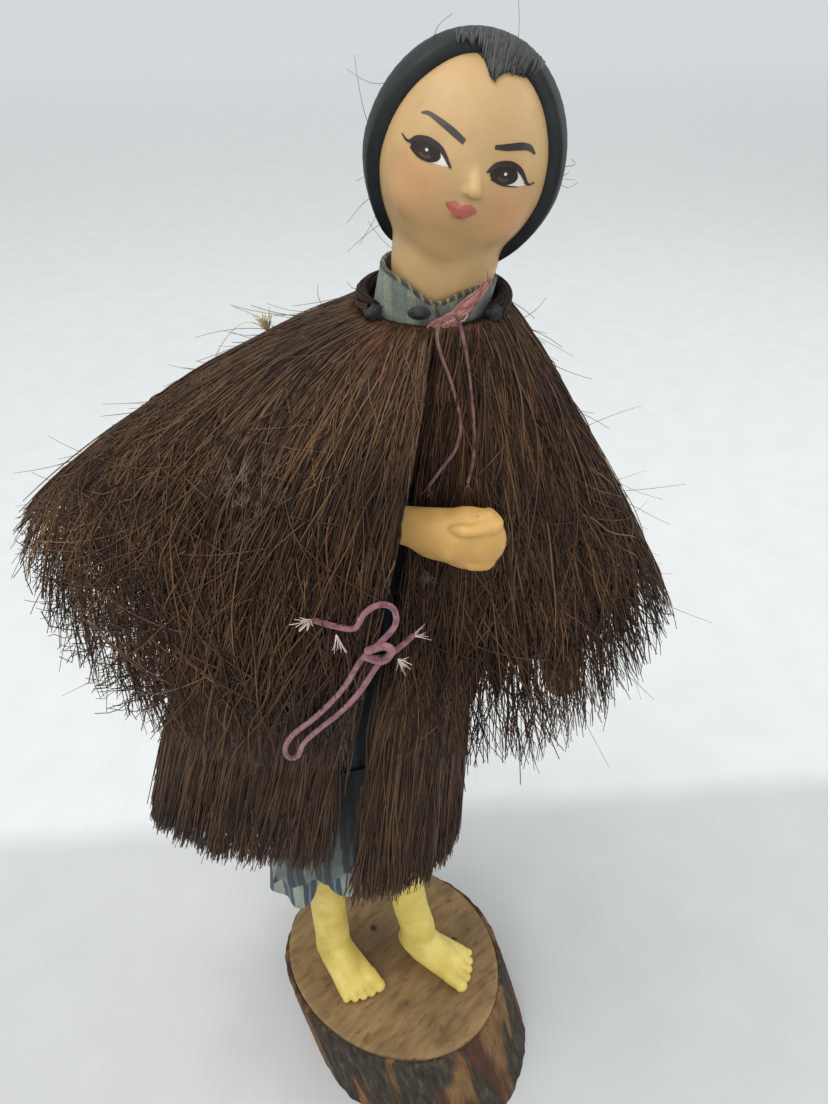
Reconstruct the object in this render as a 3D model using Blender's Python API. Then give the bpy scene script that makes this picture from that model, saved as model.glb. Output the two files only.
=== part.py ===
"""A costume doll in a palm-fibre rain cape, standing on a slice of branch.

Metres, +Z up. The origin is on the slice's underside, straight below the middle of its top face.
The feet point along -Y and the upper body is turned towards FRONT_DEG. Every separate piece is its
own object.
"""

import math

import bmesh
import bpy
import numpy as np
from mathutils import Euler, Vector

MM = 0.001
GAP = 0.3

# The wooden slice: an oblique cut through a branch, so its underside is shifted towards the toes.
BASE_HEIGHT = 25.0
BASE_LONG, BASE_WIDE = 35.2, 29.7
BASE_TURN = 23.0
BASE_SHIFT = 12.0
BARK_THICKNESS = 1.7
BARK_DROP = 0.8

# The figure stands on the slice. The torso leans from the hips to the neck.
FRONT_DEG = 228.0
HIPS = Vector((-4.0, 15.0, 125.0))
NECK = Vector((0.7, -12.7, 233.0))
HEAD_CENTRE = Vector((3.5, -15.3, 251.5))
HEAD_WIDE, HEAD_DEEP, HEAD_TALL = 11.9, 12.2, 14.0
HAIR_THICKNESS = 1.3
NECK_RADIUS = 4.2

RIGHT_TOE, RIGHT_ANKLE = Vector((-15.0, -7.5, 0.0)), Vector((-13.2, 12.0, 0.0))
LEFT_TOE, LEFT_ANKLE = Vector((11.2, -23.0, 0.0)), Vector((7.0, -4.0, 0.0))
RIGHT_KNEE, LEFT_KNEE = Vector((-12.0, 15.5, 72.0)), Vector((3.6, 0.8, 76.0))
RIGHT_HIP, LEFT_HIP = Vector((-11.0, 18.5, 121.0)), Vector((3.0, 11.0, 121.0))
RIGHT_HEM, LEFT_HEM = Vector((-13.5, 15.5, 66.0)), Vector((4.6, 1.8, 72.0))
FOOT_HALF_WIDTH, FOOT_HEIGHT, SHANK_RADIUS = 6.5, 6.5, 5.0

# Each arm's route from the shoulder round the elbow.
RIGHT_ARM = (
    Vector((-10.0, -3.4, 220.0)),
    Vector((-20.5, 4.5, 211.5)),
    Vector((-30.5, 9.5, 200.5)),
    Vector((-34.5, -0.5, 197.0)),
    Vector((-29.5, -12.0, 202.0)),
)
LEFT_ARM = (
    Vector((10.0, -17.0, 220.0)),
    Vector((15.4, -22.4, 206.5)),
    Vector((18.8, -27.0, 195.5)),
    Vector((17.6, -31.0, 186.5)),
)
RIGHT_WRIST, RIGHT_FIST = Vector((-17.6, -24.4, 207.1)), Vector((-8.2, -35.6, 206.1))
LEFT_WRIST, LEFT_FIST = Vector((14.6, -34.4, 178.0)), Vector((12.6, -36.4, 167.0))
WIRE_RADIUS = 0.8
PIN_RADIUS = 0.9
SLEEVE_RADIUS, CLOTH = 5.0, 0.7
# The collar dips at the front and slopes down towards the doll's left.
COLLAR_DIP, COLLAR_TILT = 2.2, 0.5

# The cape. Each row is (degrees from the front, radius, height) about the leaning torso axis.
FIBRE = 1.5
MANTLE_NECK_RADIUS, MANTLE_NECK_HEIGHT = 10.4, 232.6
MANTLE_SLIT = (0.0, 8.0)
BINDING_ENDS = (52.0, 308.0)
FLAP_ANGLES = (-16.0, 40.0)
MANTLE_MID = (
    (-180, 27, 205),
    (-140, 30, 210),
    (-110, 35, 216),
    (-84, 37.5, 218),
    (-46, 35, 211.5),
    (-20, 35, 209.5),
    (0, 33.5, 208),
    (8, 21, 205),
    (20, 22, 205),
    (44, 27, 205),
    (88, 35, 204),
    (140, 30, 204),
    (180, 27, 205),
)
MANTLE_HEM = (
    (-180, 46, 168),
    (-140, 52, 180),
    (-110, 62, 190),
    (-84, 65, 193),
    (-66, 57, 178),
    (-46, 45, 159),
    (-20, 40, 160),
    (0, 38, 163),
    (8, 36, 163),
    (20, 41, 161),
    (44, 49, 160),
    (61, 53, 162),
    (75, 58, 163),
    (88, 64, 167),
    (110, 60, 166),
    (140, 50, 165),
    (180, 46, 168),
)
# The skirt tier: (height, centre towards the doll's left, centre forward, half width, half depth).
SKIRT_SLIT = (11.0, 19.0)
SKIRT_RINGS = (
    (186.0, -4.5, 3.5, 25.5, 22.0),
    (160.0, -5.0, 6.1, 29.0, 22.0),
    (128.0, -4.0, 5.4, 34.0, 26.5),
    (99.0, -2.8, 7.7, 38.0, 27.0),
)
# How far below its last ring the skirt's uneven hem hangs: (degrees from the front, drop).
SKIRT_HEM = (
    (-180, 5),
    (-90, 1),
    (-65, -4),
    (-45, -8.5),
    (-10, -10.5),
    (11, -8.5),
    (19, 7.5),
    (45, 12),
    (90, 14),
    (180, 5),
)
# The two pink tie cords, each one cord from end to end, in millimetres.
WAIST_CORD_RADIUS, NECK_CORD_RADIUS = 0.45, 0.27
WAIST_CORD = (
    (-33.3, -25.1, 198.7),
    (-31.2, -27.3, 197.7),
    (-29.1, -29.4, 197.4),
    (-28.1, -30.3, 200.1),
    (-26.4, -31.8, 201.8),
    (-24.7, -32.7, 200.6),
    (-24.5, -32.8, 197.6),
    (-26.2, -31.9, 195.0),
    (-28.7, -30.1, 191.6),
    (-30.2, -28.2, 186.3),
    (-31.7, -26.0, 181.6),
    (-33.8, -23.1, 176.5),
    (-35.7, -20.1, 172.0),
    (-36.5, -18.1, 167.6),
    (-36.2, -17.8, 164.5),
    (-34.9, -18.9, 164.5),
    (-34.5, -20.6, 169.0),
    (-32.9, -23.3, 173.7),
    (-30.8, -26.5, 178.7),
    (-28.8, -29.4, 184.4),
    (-26.8, -31.3, 190.0),
    (-24.6, -32.1, 191.6),
    (-21.2, -31.0, 190.6),
    (-18.5, -29.8, 189.6),
)
NECK_CORD = (
    (-10.7, -24.7, 211.1),
    (-8.6, -25.3, 213.7),
    (-6.8, -26.0, 216.2),
    (-5.8, -25.9, 219.7),
    (-5.8, -25.0, 223.0),
    (-6.2, -23.9, 226.4),
    (-7.0, -22.9, 229.6),
    (-7.5, -22.5, 232.6),
    (-6.6, -22.8, 234.9),
    (-5.0, -23.4, 235.1),
    (-4.2, -23.8, 232.8),
    (-3.7, -24.4, 229.6),
    (-3.6, -25.1, 226.1),
    (-3.8, -26.1, 222.5),
    (-4.2, -27.1, 218.6),
    (-5.0, -27.9, 214.4),
    (-6.2, -28.2, 211.4),
)
AXIS_DROP = (HIPS - NECK) / (NECK.z - HIPS.z)

FRONT = Vector((math.cos(math.radians(FRONT_DEG)), math.sin(math.radians(FRONT_DEG)), 0))
SIDE = Vector((-FRONT.y, FRONT.x, 0))

PALM = (0.062, 0.031, 0.018)
PALM_DARK = (0.030, 0.016, 0.010)
SKIN = (0.52, 0.30, 0.14)
HAND_SKIN = (0.60, 0.35, 0.12)
FOOT_SKIN = (0.60, 0.45, 0.12)
HAIR = (0.020, 0.025, 0.030)
CLOTH_GREY = (0.20, 0.24, 0.23)
CLOTH_BLUE = (0.045, 0.070, 0.095)
COTTON = (0.62, 0.58, 0.50)
STEEL = (0.45, 0.45, 0.46)
WOOD = (0.22, 0.12, 0.06)
BARK = (0.070, 0.050, 0.038)
PINK = (0.36, 0.13, 0.19)
BLACK = (0.012, 0.012, 0.015)


def clear_scene():
    for thing in list(bpy.data.objects):
        bpy.data.objects.remove(thing, do_unlink=True)


def material(name, colour, roughness=0.7, metallic=0.0):
    made = bpy.data.materials.get(name) or bpy.data.materials.new(name)
    made.use_nodes = True
    shader = made.node_tree.nodes["Principled BSDF"]
    shader.inputs["Base Color"].default_value = (*colour, 1)
    shader.inputs["Roughness"].default_value = roughness
    shader.inputs["Metallic"].default_value = metallic
    return made


def finish(name, bm, look):
    """The bmesh, in millimetres, as an object in metres with its faces pointing out."""
    bmesh.ops.recalc_face_normals(bm, faces=bm.faces)
    bmesh.ops.scale(bm, vec=(MM, MM, MM), verts=bm.verts)
    mesh = bpy.data.meshes.new(name)
    bm.to_mesh(mesh)
    bm.free()
    made = bpy.data.objects.new(name, mesh)
    bpy.context.scene.collection.objects.link(made)
    mesh.materials.append(look)
    mesh.shade_smooth()
    mesh.set_sharp_from_angle(angle=math.radians(45))
    return made


def thick_sheet(name, outer, inner, wrap, look):
    """A closed solid between two grids of points, open along the columns or wrapped into a tube."""
    bm = bmesh.new()
    out = [[bm.verts.new(p) for p in row] for row in outer]
    inn = [[bm.verts.new(p) for p in row] for row in inner]
    rows, columns = len(out), len(out[0])
    steps = columns if wrap else columns - 1
    for i in range(rows - 1):
        for j in range(steps):
            k = (j + 1) % columns
            bm.faces.new((out[i][j], out[i][k], out[i + 1][k], out[i + 1][j]))
            bm.faces.new((inn[i][j], inn[i + 1][j], inn[i + 1][k], inn[i][k]))
    for i in (0, rows - 1):
        for j in range(steps):
            k = (j + 1) % columns
            bm.faces.new((out[i][j], inn[i][j], inn[i][k], out[i][k]))
    if not wrap:
        for i in range(rows - 1):
            for j in (0, columns - 1):
                bm.faces.new((out[i][j], out[i + 1][j], inn[i + 1][j], inn[i][j]))
    return finish(name, bm, look)


def solid_rings(name, rings, look):
    """A closed solid through rings of points, capped at both ends."""
    bm = bmesh.new()
    made = [[bm.verts.new(p) for p in ring] for ring in rings]
    count = len(made[0])
    for low, high in zip(made, made[1:]):
        for j in range(count):
            k = (j + 1) % count
            bm.faces.new((low[j], low[k], high[k], high[j]))
    bm.faces.new(made[0])
    bm.faces.new(list(reversed(made[-1])))
    return finish(name, bm, look)


def smooth_curve(points, steps):
    """Points along a Catmull-Rom curve through the given points, ends included."""
    route = [Vector(p) for p in points]
    ends = [2 * route[0] - route[1], *route, 2 * route[-1] - route[-2]]
    found = []
    for a, b, c, d in zip(ends, ends[1:], ends[2:], ends[3:]):
        for i in range(steps):
            t = i / steps
            bend = 2 * a - 5 * b + 4 * c - d
            cubic = 3 * b - a - 3 * c + d
            found.append(0.5 * (2 * b + (c - a) * t + bend * t * t + cubic * t**3))
    found.append(route[-1])
    return found


def rings_along(path, radii, sides, flat=1.0):
    """A ring of points across the path at each of its points, carried along without twisting."""
    rings = []
    across = None
    for i, centre in enumerate(path):
        ahead = (path[min(i + 1, len(path) - 1)] - path[max(i - 1, 0)]).normalized()
        if across is None:
            across = ahead.cross(Vector((0, 0, 1)))
            if across.length < 0.2:
                across = ahead.cross(Vector((0, 1, 0)))
        across = (across - ahead * across.dot(ahead)).normalized()
        up = across.cross(ahead)
        ring = []
        for j in range(sides):
            turn = math.tau * j / sides
            sideways = across * (radii[i] * math.cos(turn))
            ring.append(centre + sideways + up * (radii[i] * flat * math.sin(turn)))
        rings.append(ring)
    return rings


def spread(values, count):
    """count values read evenly along a short list."""
    return list(np.interp(np.linspace(0, 1, count), np.linspace(0, 1, len(values)), values))


def rod(name, points, radii, sides, look, flat=1.0):
    path = smooth_curve(points, 4)
    return solid_rings(name, rings_along(path, spread(radii, len(path)), sides, flat), look)


def drill(piece, start, end, radius):
    """Cuts a round hole from start to end, in millimetres, through the piece."""
    bm = bmesh.new()
    sides = 10
    rings = rings_along([Vector(start), Vector(end)], [radius, radius], sides)
    made = [[bm.verts.new(p) for p in ring] for ring in rings]
    for j in range(sides):
        k = (j + 1) % sides
        bm.faces.new((made[0][j], made[0][k], made[1][k], made[1][j]))
    bm.faces.new(made[0])
    bm.faces.new(list(reversed(made[1])))
    cutter = finish(piece.name + "_cutter", bm, material("cutter", BLACK))
    cutter.hide_render = True
    cutter.display_type = "WIRE"
    cut = piece.modifiers.new("hole", "BOOLEAN")
    cut.operation = "DIFFERENCE"
    cut.solver = "EXACT"
    cut.object = cutter
    return cutter


def axis_at(height):
    """The leaning torso axis at a height."""
    return NECK + AXIS_DROP * (NECK.z - height)


def around(height, degrees, radius):
    """A point about the leaning axis, counted from the front towards the doll's left."""
    turn = math.radians(degrees)
    centre = axis_at(height)
    return centre + (FRONT * math.cos(turn) + SIDE * math.sin(turn)) * radius


def read_rows(rows, degrees):
    """Radius and height at an angle, from rows of control values, eased over a few degrees."""
    angles = [row[0] for row in rows]
    window = np.linspace(-7, 7, 5) + degrees
    window = np.clip(window, angles[0], angles[-1])
    radius = np.interp(window, angles, [row[1] for row in rows]).mean()
    height = np.interp(window, angles, [row[2] for row in rows]).mean()
    return float(radius), float(height)


def side_of_slit(degrees, slit):
    """Control values are read a little inside the slit's edge, so the two edges stay apart."""
    low, high = slit
    return min(degrees, low - 7.0) if degrees <= low else max(degrees, high + 7.0)


def sheet_angles(slit, count):
    """Angles from the slit's left-hand edge round the back to its right-hand edge."""
    low, high = slit
    return [high + (360 + low - high) * i / (count - 1) for i in range(count)]


def inset(grid, depth):
    """The grid moved inwards by a depth along its own normals."""
    points = np.array([[tuple(p) for p in row] for row in grid])
    down = np.gradient(points, axis=0)
    along = np.gradient(points, axis=1)
    normal = np.cross(along, down)
    normal /= np.linalg.norm(normal, axis=2, keepdims=True)
    outward = points - points.mean(axis=(0, 1))
    if (normal * outward).sum() < 0:
        normal = -normal
    moved = points - normal * depth
    return [[Vector(p) for p in row] for row in moved]


def mantle_point(angle, share, lift=0.0):
    """A point on the mantle at a share of the way from its neck ring to its hem."""
    turned = angle - 360 if angle > 180 else angle
    read = side_of_slit(turned, MANTLE_SLIT)
    mid_radius, mid_height = read_rows(MANTLE_MID, read)
    hem_radius, hem_height = read_rows(MANTLE_HEM, read)
    # A parabola through the neck ring, the middle and the hem.
    start = (1 - share) * (1 - 2 * share)
    middle = 4 * share * (1 - share)
    end = share * (2 * share - 1)
    radius = start * MANTLE_NECK_RADIUS + middle * mid_radius + end * hem_radius
    height = start * MANTLE_NECK_HEIGHT + middle * mid_height + end * hem_height
    return around(height, angle, radius + lift)


def mantle_grid():
    rows, columns = 8, 34
    angles = sheet_angles(MANTLE_SLIT, columns)
    return [[mantle_point(a, i / (rows - 1)) for a in angles] for i in range(rows)]


def skirt_point(ring, degrees):
    height, right, back, half_width, half_depth = ring
    turn = math.radians(degrees)
    centre = axis_at(height)
    sideways = right + half_width * math.sin(turn)
    forward = back + half_depth * math.cos(turn)
    return centre + SIDE * sideways + FRONT * forward


def skirt_grid():
    rows, columns = 7, 34
    grid = []
    for i in range(rows):
        share = i / (rows - 1)
        ring = [
            float(np.interp(share, np.linspace(0, 1, len(SKIRT_RINGS)), values))
            for values in zip(*SKIRT_RINGS)
        ]
        row = []
        for angle in sheet_angles(SKIRT_SLIT, columns):
            turned = angle - 360 if angle > 180 else angle
            drops = zip(*SKIRT_HEM)
            drop = float(np.interp(turned, next(drops), next(drops)))
            row.append(skirt_point(ring, angle) - Vector((0, 0, drop * share)))
        grid.append(row)
    return grid


def make_base():
    sides = 36

    def outline(height, shift, grow):
        ring = []
        for j in range(sides):
            turn = math.tau * j / sides
            wobble = 1 + 0.018 * math.sin(2 * turn + 0.6) + 0.012 * math.sin(3 * turn + 2)
            spot = Vector(((BASE_WIDE * wobble + grow) * math.cos(turn), 0, height))
            spot.y = (BASE_LONG * wobble + grow) * math.sin(turn)
            spot.rotate(Euler((0, 0, math.radians(BASE_TURN))))
            ring.append(spot - Vector((0, shift, 0)))
        return ring

    def ring_at(height, grow):
        return outline(height, BASE_SHIFT * (1 - height / BASE_HEIGHT), grow)

    wood = [ring_at(h, -BARK_THICKNESS) for h in (0.0, BASE_HEIGHT / 2, BASE_HEIGHT)]
    slice_ = solid_rings("base_slice", wood, material("wood", WOOD, 0.55))
    bark_tops = (0.0, BASE_HEIGHT / 2, BASE_HEIGHT - BARK_DROP)
    outer = [ring_at(h, 0.0) for h in bark_tops]
    inner = [ring_at(h, GAP - BARK_THICKNESS) for h in bark_tops]
    thick_sheet("base_bark", outer, inner, True, material("bark", BARK, 0.9))
    return slice_


def make_leg(side, toe, ankle, knee, slice_):
    """A moulded foot and shank in one piece, pinned to the slice and drilled for the leg wire."""
    top = BASE_HEIGHT + GAP
    toe = Vector((toe.x, toe.y, top))
    ankle = Vector((ankle.x, ankle.y, top))
    along = (ankle - toe).normalized()
    across = Vector((along.y, -along.x, 0))
    heel = ankle + along * 5.0
    length = (heel - toe).length
    sections = (
        (0.0, 0.72, 0.28),
        (0.10, 0.98, 0.42),
        (0.28, 1.0, 0.58),
        (0.48, 0.86, 0.78),
        (0.64, 0.78, 1.0),
        (0.80, 0.76, 1.0),
        (1.0, 0.50, 0.72),
    )
    sides = 12
    rings = []
    for share, wide, high in sections:
        centre = toe + along * (share * length)
        ring = []
        for j in range(sides):
            turn = math.tau * j / sides
            lift = min(max(0.0, 0.5 + 0.575 * math.sin(turn)), 1.0)
            ring.append(
                centre
                + across * (FOOT_HALF_WIDTH * wide * math.cos(turn))
                + Vector((0, 0, FOOT_HEIGHT * high * lift))
            )
        rings.append(ring)
    look = material("foot_paint", FOOT_SKIN, 0.6)
    foot = solid_rings(f"{side}_leg", rings, look)
    shank_start = ankle + Vector((0, 0, 2.6))
    path = smooth_curve((shank_start, ankle.lerp(knee, 0.3) + Vector((0, 0, 6)), knee), 3)
    radii = spread((5.0, 4.8, 5.2, SHANK_RADIUS), len(path))
    shank = solid_rings("shank_guide", rings_along(path, radii, sides), look)
    shank.hide_render = True
    shank.display_type = "WIRE"
    join = foot.modifiers.new("shank", "BOOLEAN")
    join.operation = "UNION"
    join.solver = "EXACT"
    join.object = shank
    shank.name = f"{side}_shank_guide"
    pin_top = ankle + Vector((0, 0, 9))
    pin_low = Vector((ankle.x, ankle.y, BASE_HEIGHT - 12))
    drill(foot, ankle - Vector((0, 0, 4)), pin_top + Vector((0, 0, GAP)), PIN_RADIUS + GAP)
    drill(slice_, pin_low - Vector((0, 0, GAP)), ankle + Vector((0, 0, 3)), PIN_RADIUS + GAP)
    rod(f"{side}_foot_pin", (pin_low, pin_top), (PIN_RADIUS,) * 2, 8, material("steel", STEEL, 0.4, 1.0))
    return foot


def make_leg_core(side, leg, knee, hip, hem, hem_radius):
    """The wire, the wound padding and the trouser leg above a shank."""
    into_shank = (knee - hip).normalized() * 8
    drill(leg, knee + into_shank, knee - into_shank, WIRE_RADIUS + GAP)
    start = knee + into_shank * (1 - GAP / 4)
    path = smooth_curve((start, knee, knee.lerp(hip, 0.5), hip, hip + Vector((0, 0, 5.5))), 4)
    wire = rings_along(path, [WIRE_RADIUS] * len(path), 8)
    solid_rings(f"{side}_leg_wire", wire, material("steel", STEEL, 0.4, 1.0))
    padded = path[5:-6]
    thick = rings_along(padded, spread((4.6, 5.6, 6.0), len(padded)), 12)
    bore = rings_along(padded, [WIRE_RADIUS + GAP] * len(padded), 12)
    thick_sheet(f"{side}_thigh_padding", thick, bore, True, material("cotton", COTTON, 0.95))
    top = hip + Vector((0, 0, -1.0))
    route = smooth_curve((hem, hem.lerp(top, 0.5) + Vector((0, 1, 0)), top), 4)
    outside = spread((hem_radius, hem_radius * 0.86, 7.4), len(route))
    outer = rings_along(route, outside, 18)
    inner = rings_along(route, [r - CLOTH for r in outside], 18)
    thick_sheet(f"{side}_trouser_leg", outer, inner, True, material("striped_cloth", CLOTH_GREY, 0.9))


def make_torso():
    cotton = material("cotton", COTTON, 0.95)
    steel = material("steel", STEEL, 0.4, 1.0)
    block_low, block_high = HIPS + Vector((0, 0, -1.5)), HIPS + Vector((0, 0, 8.0))
    block = rod("pelvis_block", (block_low, block_high), (11.6, 11.6), 16, material("wood", WOOD, 0.55), 0.8)
    for hip in (RIGHT_HIP, LEFT_HIP):
        drill(block, hip, hip + Vector((0, 0, 5.5 + 2 * GAP)), WIRE_RADIUS + 2 * GAP)
    spine_low = axis_at(HIPS.z + 4)
    spine_high = axis_at(216.0)
    drill(block, spine_low - AXIS_DROP * -GAP, axis_at(HIPS.z + 14), WIRE_RADIUS + GAP)
    rod("spine_wire", (spine_low, spine_high), (WIRE_RADIUS,) * 2, 8, steel)
    heights = (135.0, 150.0, 175.0, 198.0, 213.5)
    wide = (11.0, 11.0, 11.5, 13.0, 11.0)
    outer = [torso_ring(h, w, w * 0.72) for h, w in zip(heights, wide)]
    inner = [torso_ring(h, 1.6, 1.6) for h in heights]
    thick_sheet("torso_padding", outer, inner, True, cotton)


def torso_ring(height, wide, deep, sides=20):
    centre = axis_at(height)
    ring = []
    for j in range(sides):
        turn = math.tau * j / sides
        ring.append(centre + SIDE * (wide * math.cos(turn)) + FRONT * (deep * math.sin(turn)))
    return ring


def make_tunic():
    cloth = material("striped_cloth", CLOTH_GREY, 0.9)
    heights = (116.0, 128.0, 150.0, 176.0, 202.0, 216.0, 224.0, 227.6, 229.6)
    wide = (21.5, 19.5, 16.5, 15.0, 16.0, 16.0, 12.5, 8.6, 7.9)
    deep = (16.5, 15.5, 13.5, 12.0, 12.5, 11.5, 9.5, 8.2, 7.9)
    outer = [torso_ring(h, w, d) for h, w, d in zip(heights, wide, deep)]
    inner = [torso_ring(h, w - CLOTH, d - CLOTH) for h, w, d in zip(heights, wide, deep)]
    tunic = thick_sheet("tunic_body", outer, inner, True, cloth)
    for shoulder, upper_arm, *_ in (RIGHT_ARM, LEFT_ARM):
        drill(tunic, shoulder - (upper_arm - shoulder) * 0.1, upper_arm, 2.4)
    make_front_flap(cloth)
    make_collar()


def make_front_flap(cloth):
    """The tunic's long front, which hangs between the cape's two lower flaps and the legs."""
    heights = (112.5, 102.0, 92.0, 82.0)
    wide, deep = (23.0, 25.5, 28.0, 30.0), (13.6, 16.0, 18.3, 20.0)
    angles = [FLAP_ANGLES[0] + (FLAP_ANGLES[1] - FLAP_ANGLES[0]) * i / 12 for i in range(13)]
    sheets = []
    for shrink in (0.0, CLOTH):
        sheet = []
        for height, half_width, half_depth in zip(heights, wide, deep):
            ring = (height, -3.0, 6.5, half_width - shrink, half_depth - shrink)
            sheet.append([skirt_point(ring, angle) for angle in angles])
        sheets.append(sheet)
    thick_sheet("tunic_front_flap", sheets[0], sheets[1], False, cloth)


def make_collar():
    """A stand collar with a dip at the front, sewn round the neck of the tunic."""
    sides = 32
    levels = (230.0, 233.4, 237.2)
    outer, inner = [], []
    for i, level in enumerate(levels):
        out_row, in_row = [], []
        for j in range(sides):
            turn = 360.0 * j / sides
            near = abs((turn + 180) % 360 - 180)
            dip = COLLAR_DIP * math.exp(-((near / 24.0) ** 2)) if i == 2 else 0.0
            radius = 8.5 - 0.10 * i
            centre = axis_at(230.0) + Vector((0.12, -0.17, 0)) * (level - 230)
            swing = math.radians(turn - 6)
            way = FRONT * math.cos(swing) + SIDE * math.sin(swing)
            tilt = COLLAR_TILT * math.sin(swing) * i
            spot = Vector((centre.x, centre.y, level - dip - tilt))
            out_row.append(spot + way * radius)
            in_row.append(spot + way * (radius - 0.8))
        outer.append(out_row)
        inner.append(in_row)
    thick_sheet("tunic_collar", outer, inner, True, material("collar_cloth", CLOTH_GREY, 0.9))
    knot = axis_at(230.0) + FRONT * 9.9 + SIDE * -2.0 + Vector((0, 0, 4.9))
    rod("collar_knot", (knot - SIDE * 1.7, knot, knot + SIDE * 1.7), (0.7, 1.1, 0.7), 8,
        material("black_cord", BLACK, 0.8))


def make_arm(side, route, wrist, fist):
    """Padding and sleeve along the arm's route, and the moulded hand. Returns the wire's path."""
    cotton = material("cotton", COTTON, 0.95)
    cloth = material("sleeve_cloth", CLOTH_BLUE, 0.9)
    hand_way = (fist - wrist).normalized()
    near_hand = [wrist + hand_way * reach for reach in (-6.5, -3.0, 2.0)]
    path = smooth_curve([*route, *near_hand], 4)
    padded, sleeved = path[4:-8], path[3:-8]
    count = len(padded)
    thick = rings_along(padded, spread((3.4, 3.6, 3.0), count), 10)
    bore = rings_along(padded, [WIRE_RADIUS + GAP] * count, 10)
    thick_sheet(f"{side}_arm_padding", thick, bore, True, cotton)
    count = len(sleeved)
    outside = spread((4.4, SLEEVE_RADIUS, 4.3, 3.8), count)
    outer = rings_along(sleeved, outside, 14)
    inner = rings_along(sleeved, [r - CLOTH for r in outside], 14)
    thick_sheet(f"{side}_sleeve", outer, inner, True, cloth)
    length = (fist - wrist).length
    start = wrist - hand_way * 3.6
    shares = (0, 0.16, 0.34, 0.50, 0.72, 0.90, 1.0)
    stations = [start + hand_way * ((length + 7.6) * s) for s in shares]
    radii = [2.5, 2.6, 3.1, 4.1, 4.6, 4.1, 2.4]
    rings = rings_along(stations, radii, 14, 0.94)
    hand = solid_rings(f"{side}_hand", rings, material("hand_paint", HAND_SKIN, 0.5))
    drill(hand, start - hand_way * 2, wrist + hand_way * (2 + GAP), WIRE_RADIUS + GAP)
    return path


def make_arm_wire(right_path, left_path):
    """One soft steel wire from hand to hand, crossing above the spine at the shoulders."""
    across = smooth_curve((right_path[0], axis_at(219.5), left_path[0]), 4)
    path = [*reversed(right_path), *across[1:-1], *left_path]
    rings = rings_along(path, [WIRE_RADIUS] * len(path), 8)
    solid_rings("arm_wire", rings, material("steel", STEEL, 0.4, 1.0))


def head_rings(low, high, count, sides):
    """Rings of the egg-shaped head about its tilted axis, from share low to share high of its height."""
    up = (HEAD_CENTRE - (NECK - Vector((0, 0, 4)))).normalized()
    forward = (FRONT - up * FRONT.dot(up)).normalized()
    side = up.cross(forward) * -1
    rings = []
    for i in range(count):
        share = low + (high - low) * i / (count - 1)
        level = -math.cos(math.pi * share)
        fat = math.sin(math.pi * share)
        jaw = 1 - 0.22 * max(0.0, -level) ** 1.5
        ring = []
        for j in range(sides):
            turn = math.tau * j / sides
            wide = HEAD_WIDE * jaw * fat * math.sin(turn)
            deep = HEAD_DEEP * (1 - 0.10 * max(0.0, -level)) * fat * math.cos(turn)
            ring.append(HEAD_CENTRE + up * (HEAD_TALL * level) + side * wide + forward * deep)
        rings.append(ring)
    return rings, up, forward, side


def make_head():
    """The moulded head with its neck stub, drilled for the peg, and the moulded hair over it."""
    rings, up, forward, side = head_rings(0.08, 0.965, 13, 24)
    head = solid_rings("head", rings, material("face_paint", SKIN, 0.55))
    neck_low = HEAD_CENTRE - up * (HEAD_TALL + 12.5)
    neck_high = HEAD_CENTRE - up * 6
    stub = solid_rings(
        "neck_stub_guide",
        rings_along([neck_low, neck_low.lerp(neck_high, 0.6), neck_high], [5.6, 5.8, 6.2], 20),
        material("face_paint", SKIN, 0.55),
    )
    stub.hide_render = True
    stub.display_type = "WIRE"
    join = head.modifiers.new("neck", "BOOLEAN")
    join.operation = "UNION"
    join.solver = "EXACT"
    join.object = stub
    peg_top = neck_low + up * 14
    drill(head, neck_low - up * 3, peg_top + up * GAP, 1.2 + GAP)
    rod("neck_peg", (neck_low - up * 2.2, peg_top), (1.2, 1.2), 10, material("wood", WOOD, 0.55))
    make_hair(up, forward, side)


def make_hair(up, forward, side):
    """A cap that leaves the face open: its edge rises over the brow and falls behind the cheeks."""
    rows, columns = 9, 28
    outer, inner = [], []
    for i in range(rows):
        out_row, in_row = [], []
        for j in range(columns):
            turn = math.tau * j / columns
            facing = 0.5 + 0.5 * math.cos(turn)
            edge = 0.30 + 0.46 * facing**1.7
            share = edge + (0.975 - edge) * i / (rows - 1)
            level, fat = -math.cos(math.pi * share), math.sin(math.pi * share)
            jaw = 1 - 0.22 * max(0.0, -level) ** 1.5
            for row, grow in ((out_row, HAIR_THICKNESS + GAP), (in_row, GAP)):
                wide = (HEAD_WIDE * jaw + grow) * fat * math.sin(turn)
                deep = (HEAD_DEEP * (1 - 0.10 * max(0.0, -level)) + grow) * fat * math.cos(turn)
                row.append(HEAD_CENTRE + up * ((HEAD_TALL + grow) * level) + side * wide + forward * deep)
        outer.append(out_row)
        inner.append(in_row)
    bm = bmesh.new()
    out = [[bm.verts.new(p) for p in row] for row in outer]
    inn = [[bm.verts.new(p) for p in row] for row in inner]
    for i in range(rows - 1):
        for j in range(columns):
            k = (j + 1) % columns
            bm.faces.new((out[i][j], out[i][k], out[i + 1][k], out[i + 1][j]))
            bm.faces.new((inn[i][j], inn[i + 1][j], inn[i + 1][k], inn[i][k]))
    for j in range(columns):
        k = (j + 1) % columns
        bm.faces.new((out[0][j], inn[0][j], inn[0][k], out[0][k]))
    bm.faces.new(out[-1])
    bm.faces.new(list(reversed(inn[-1])))
    finish("hair_cap", bm, material("hair_paint", HAIR, 0.5))


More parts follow.
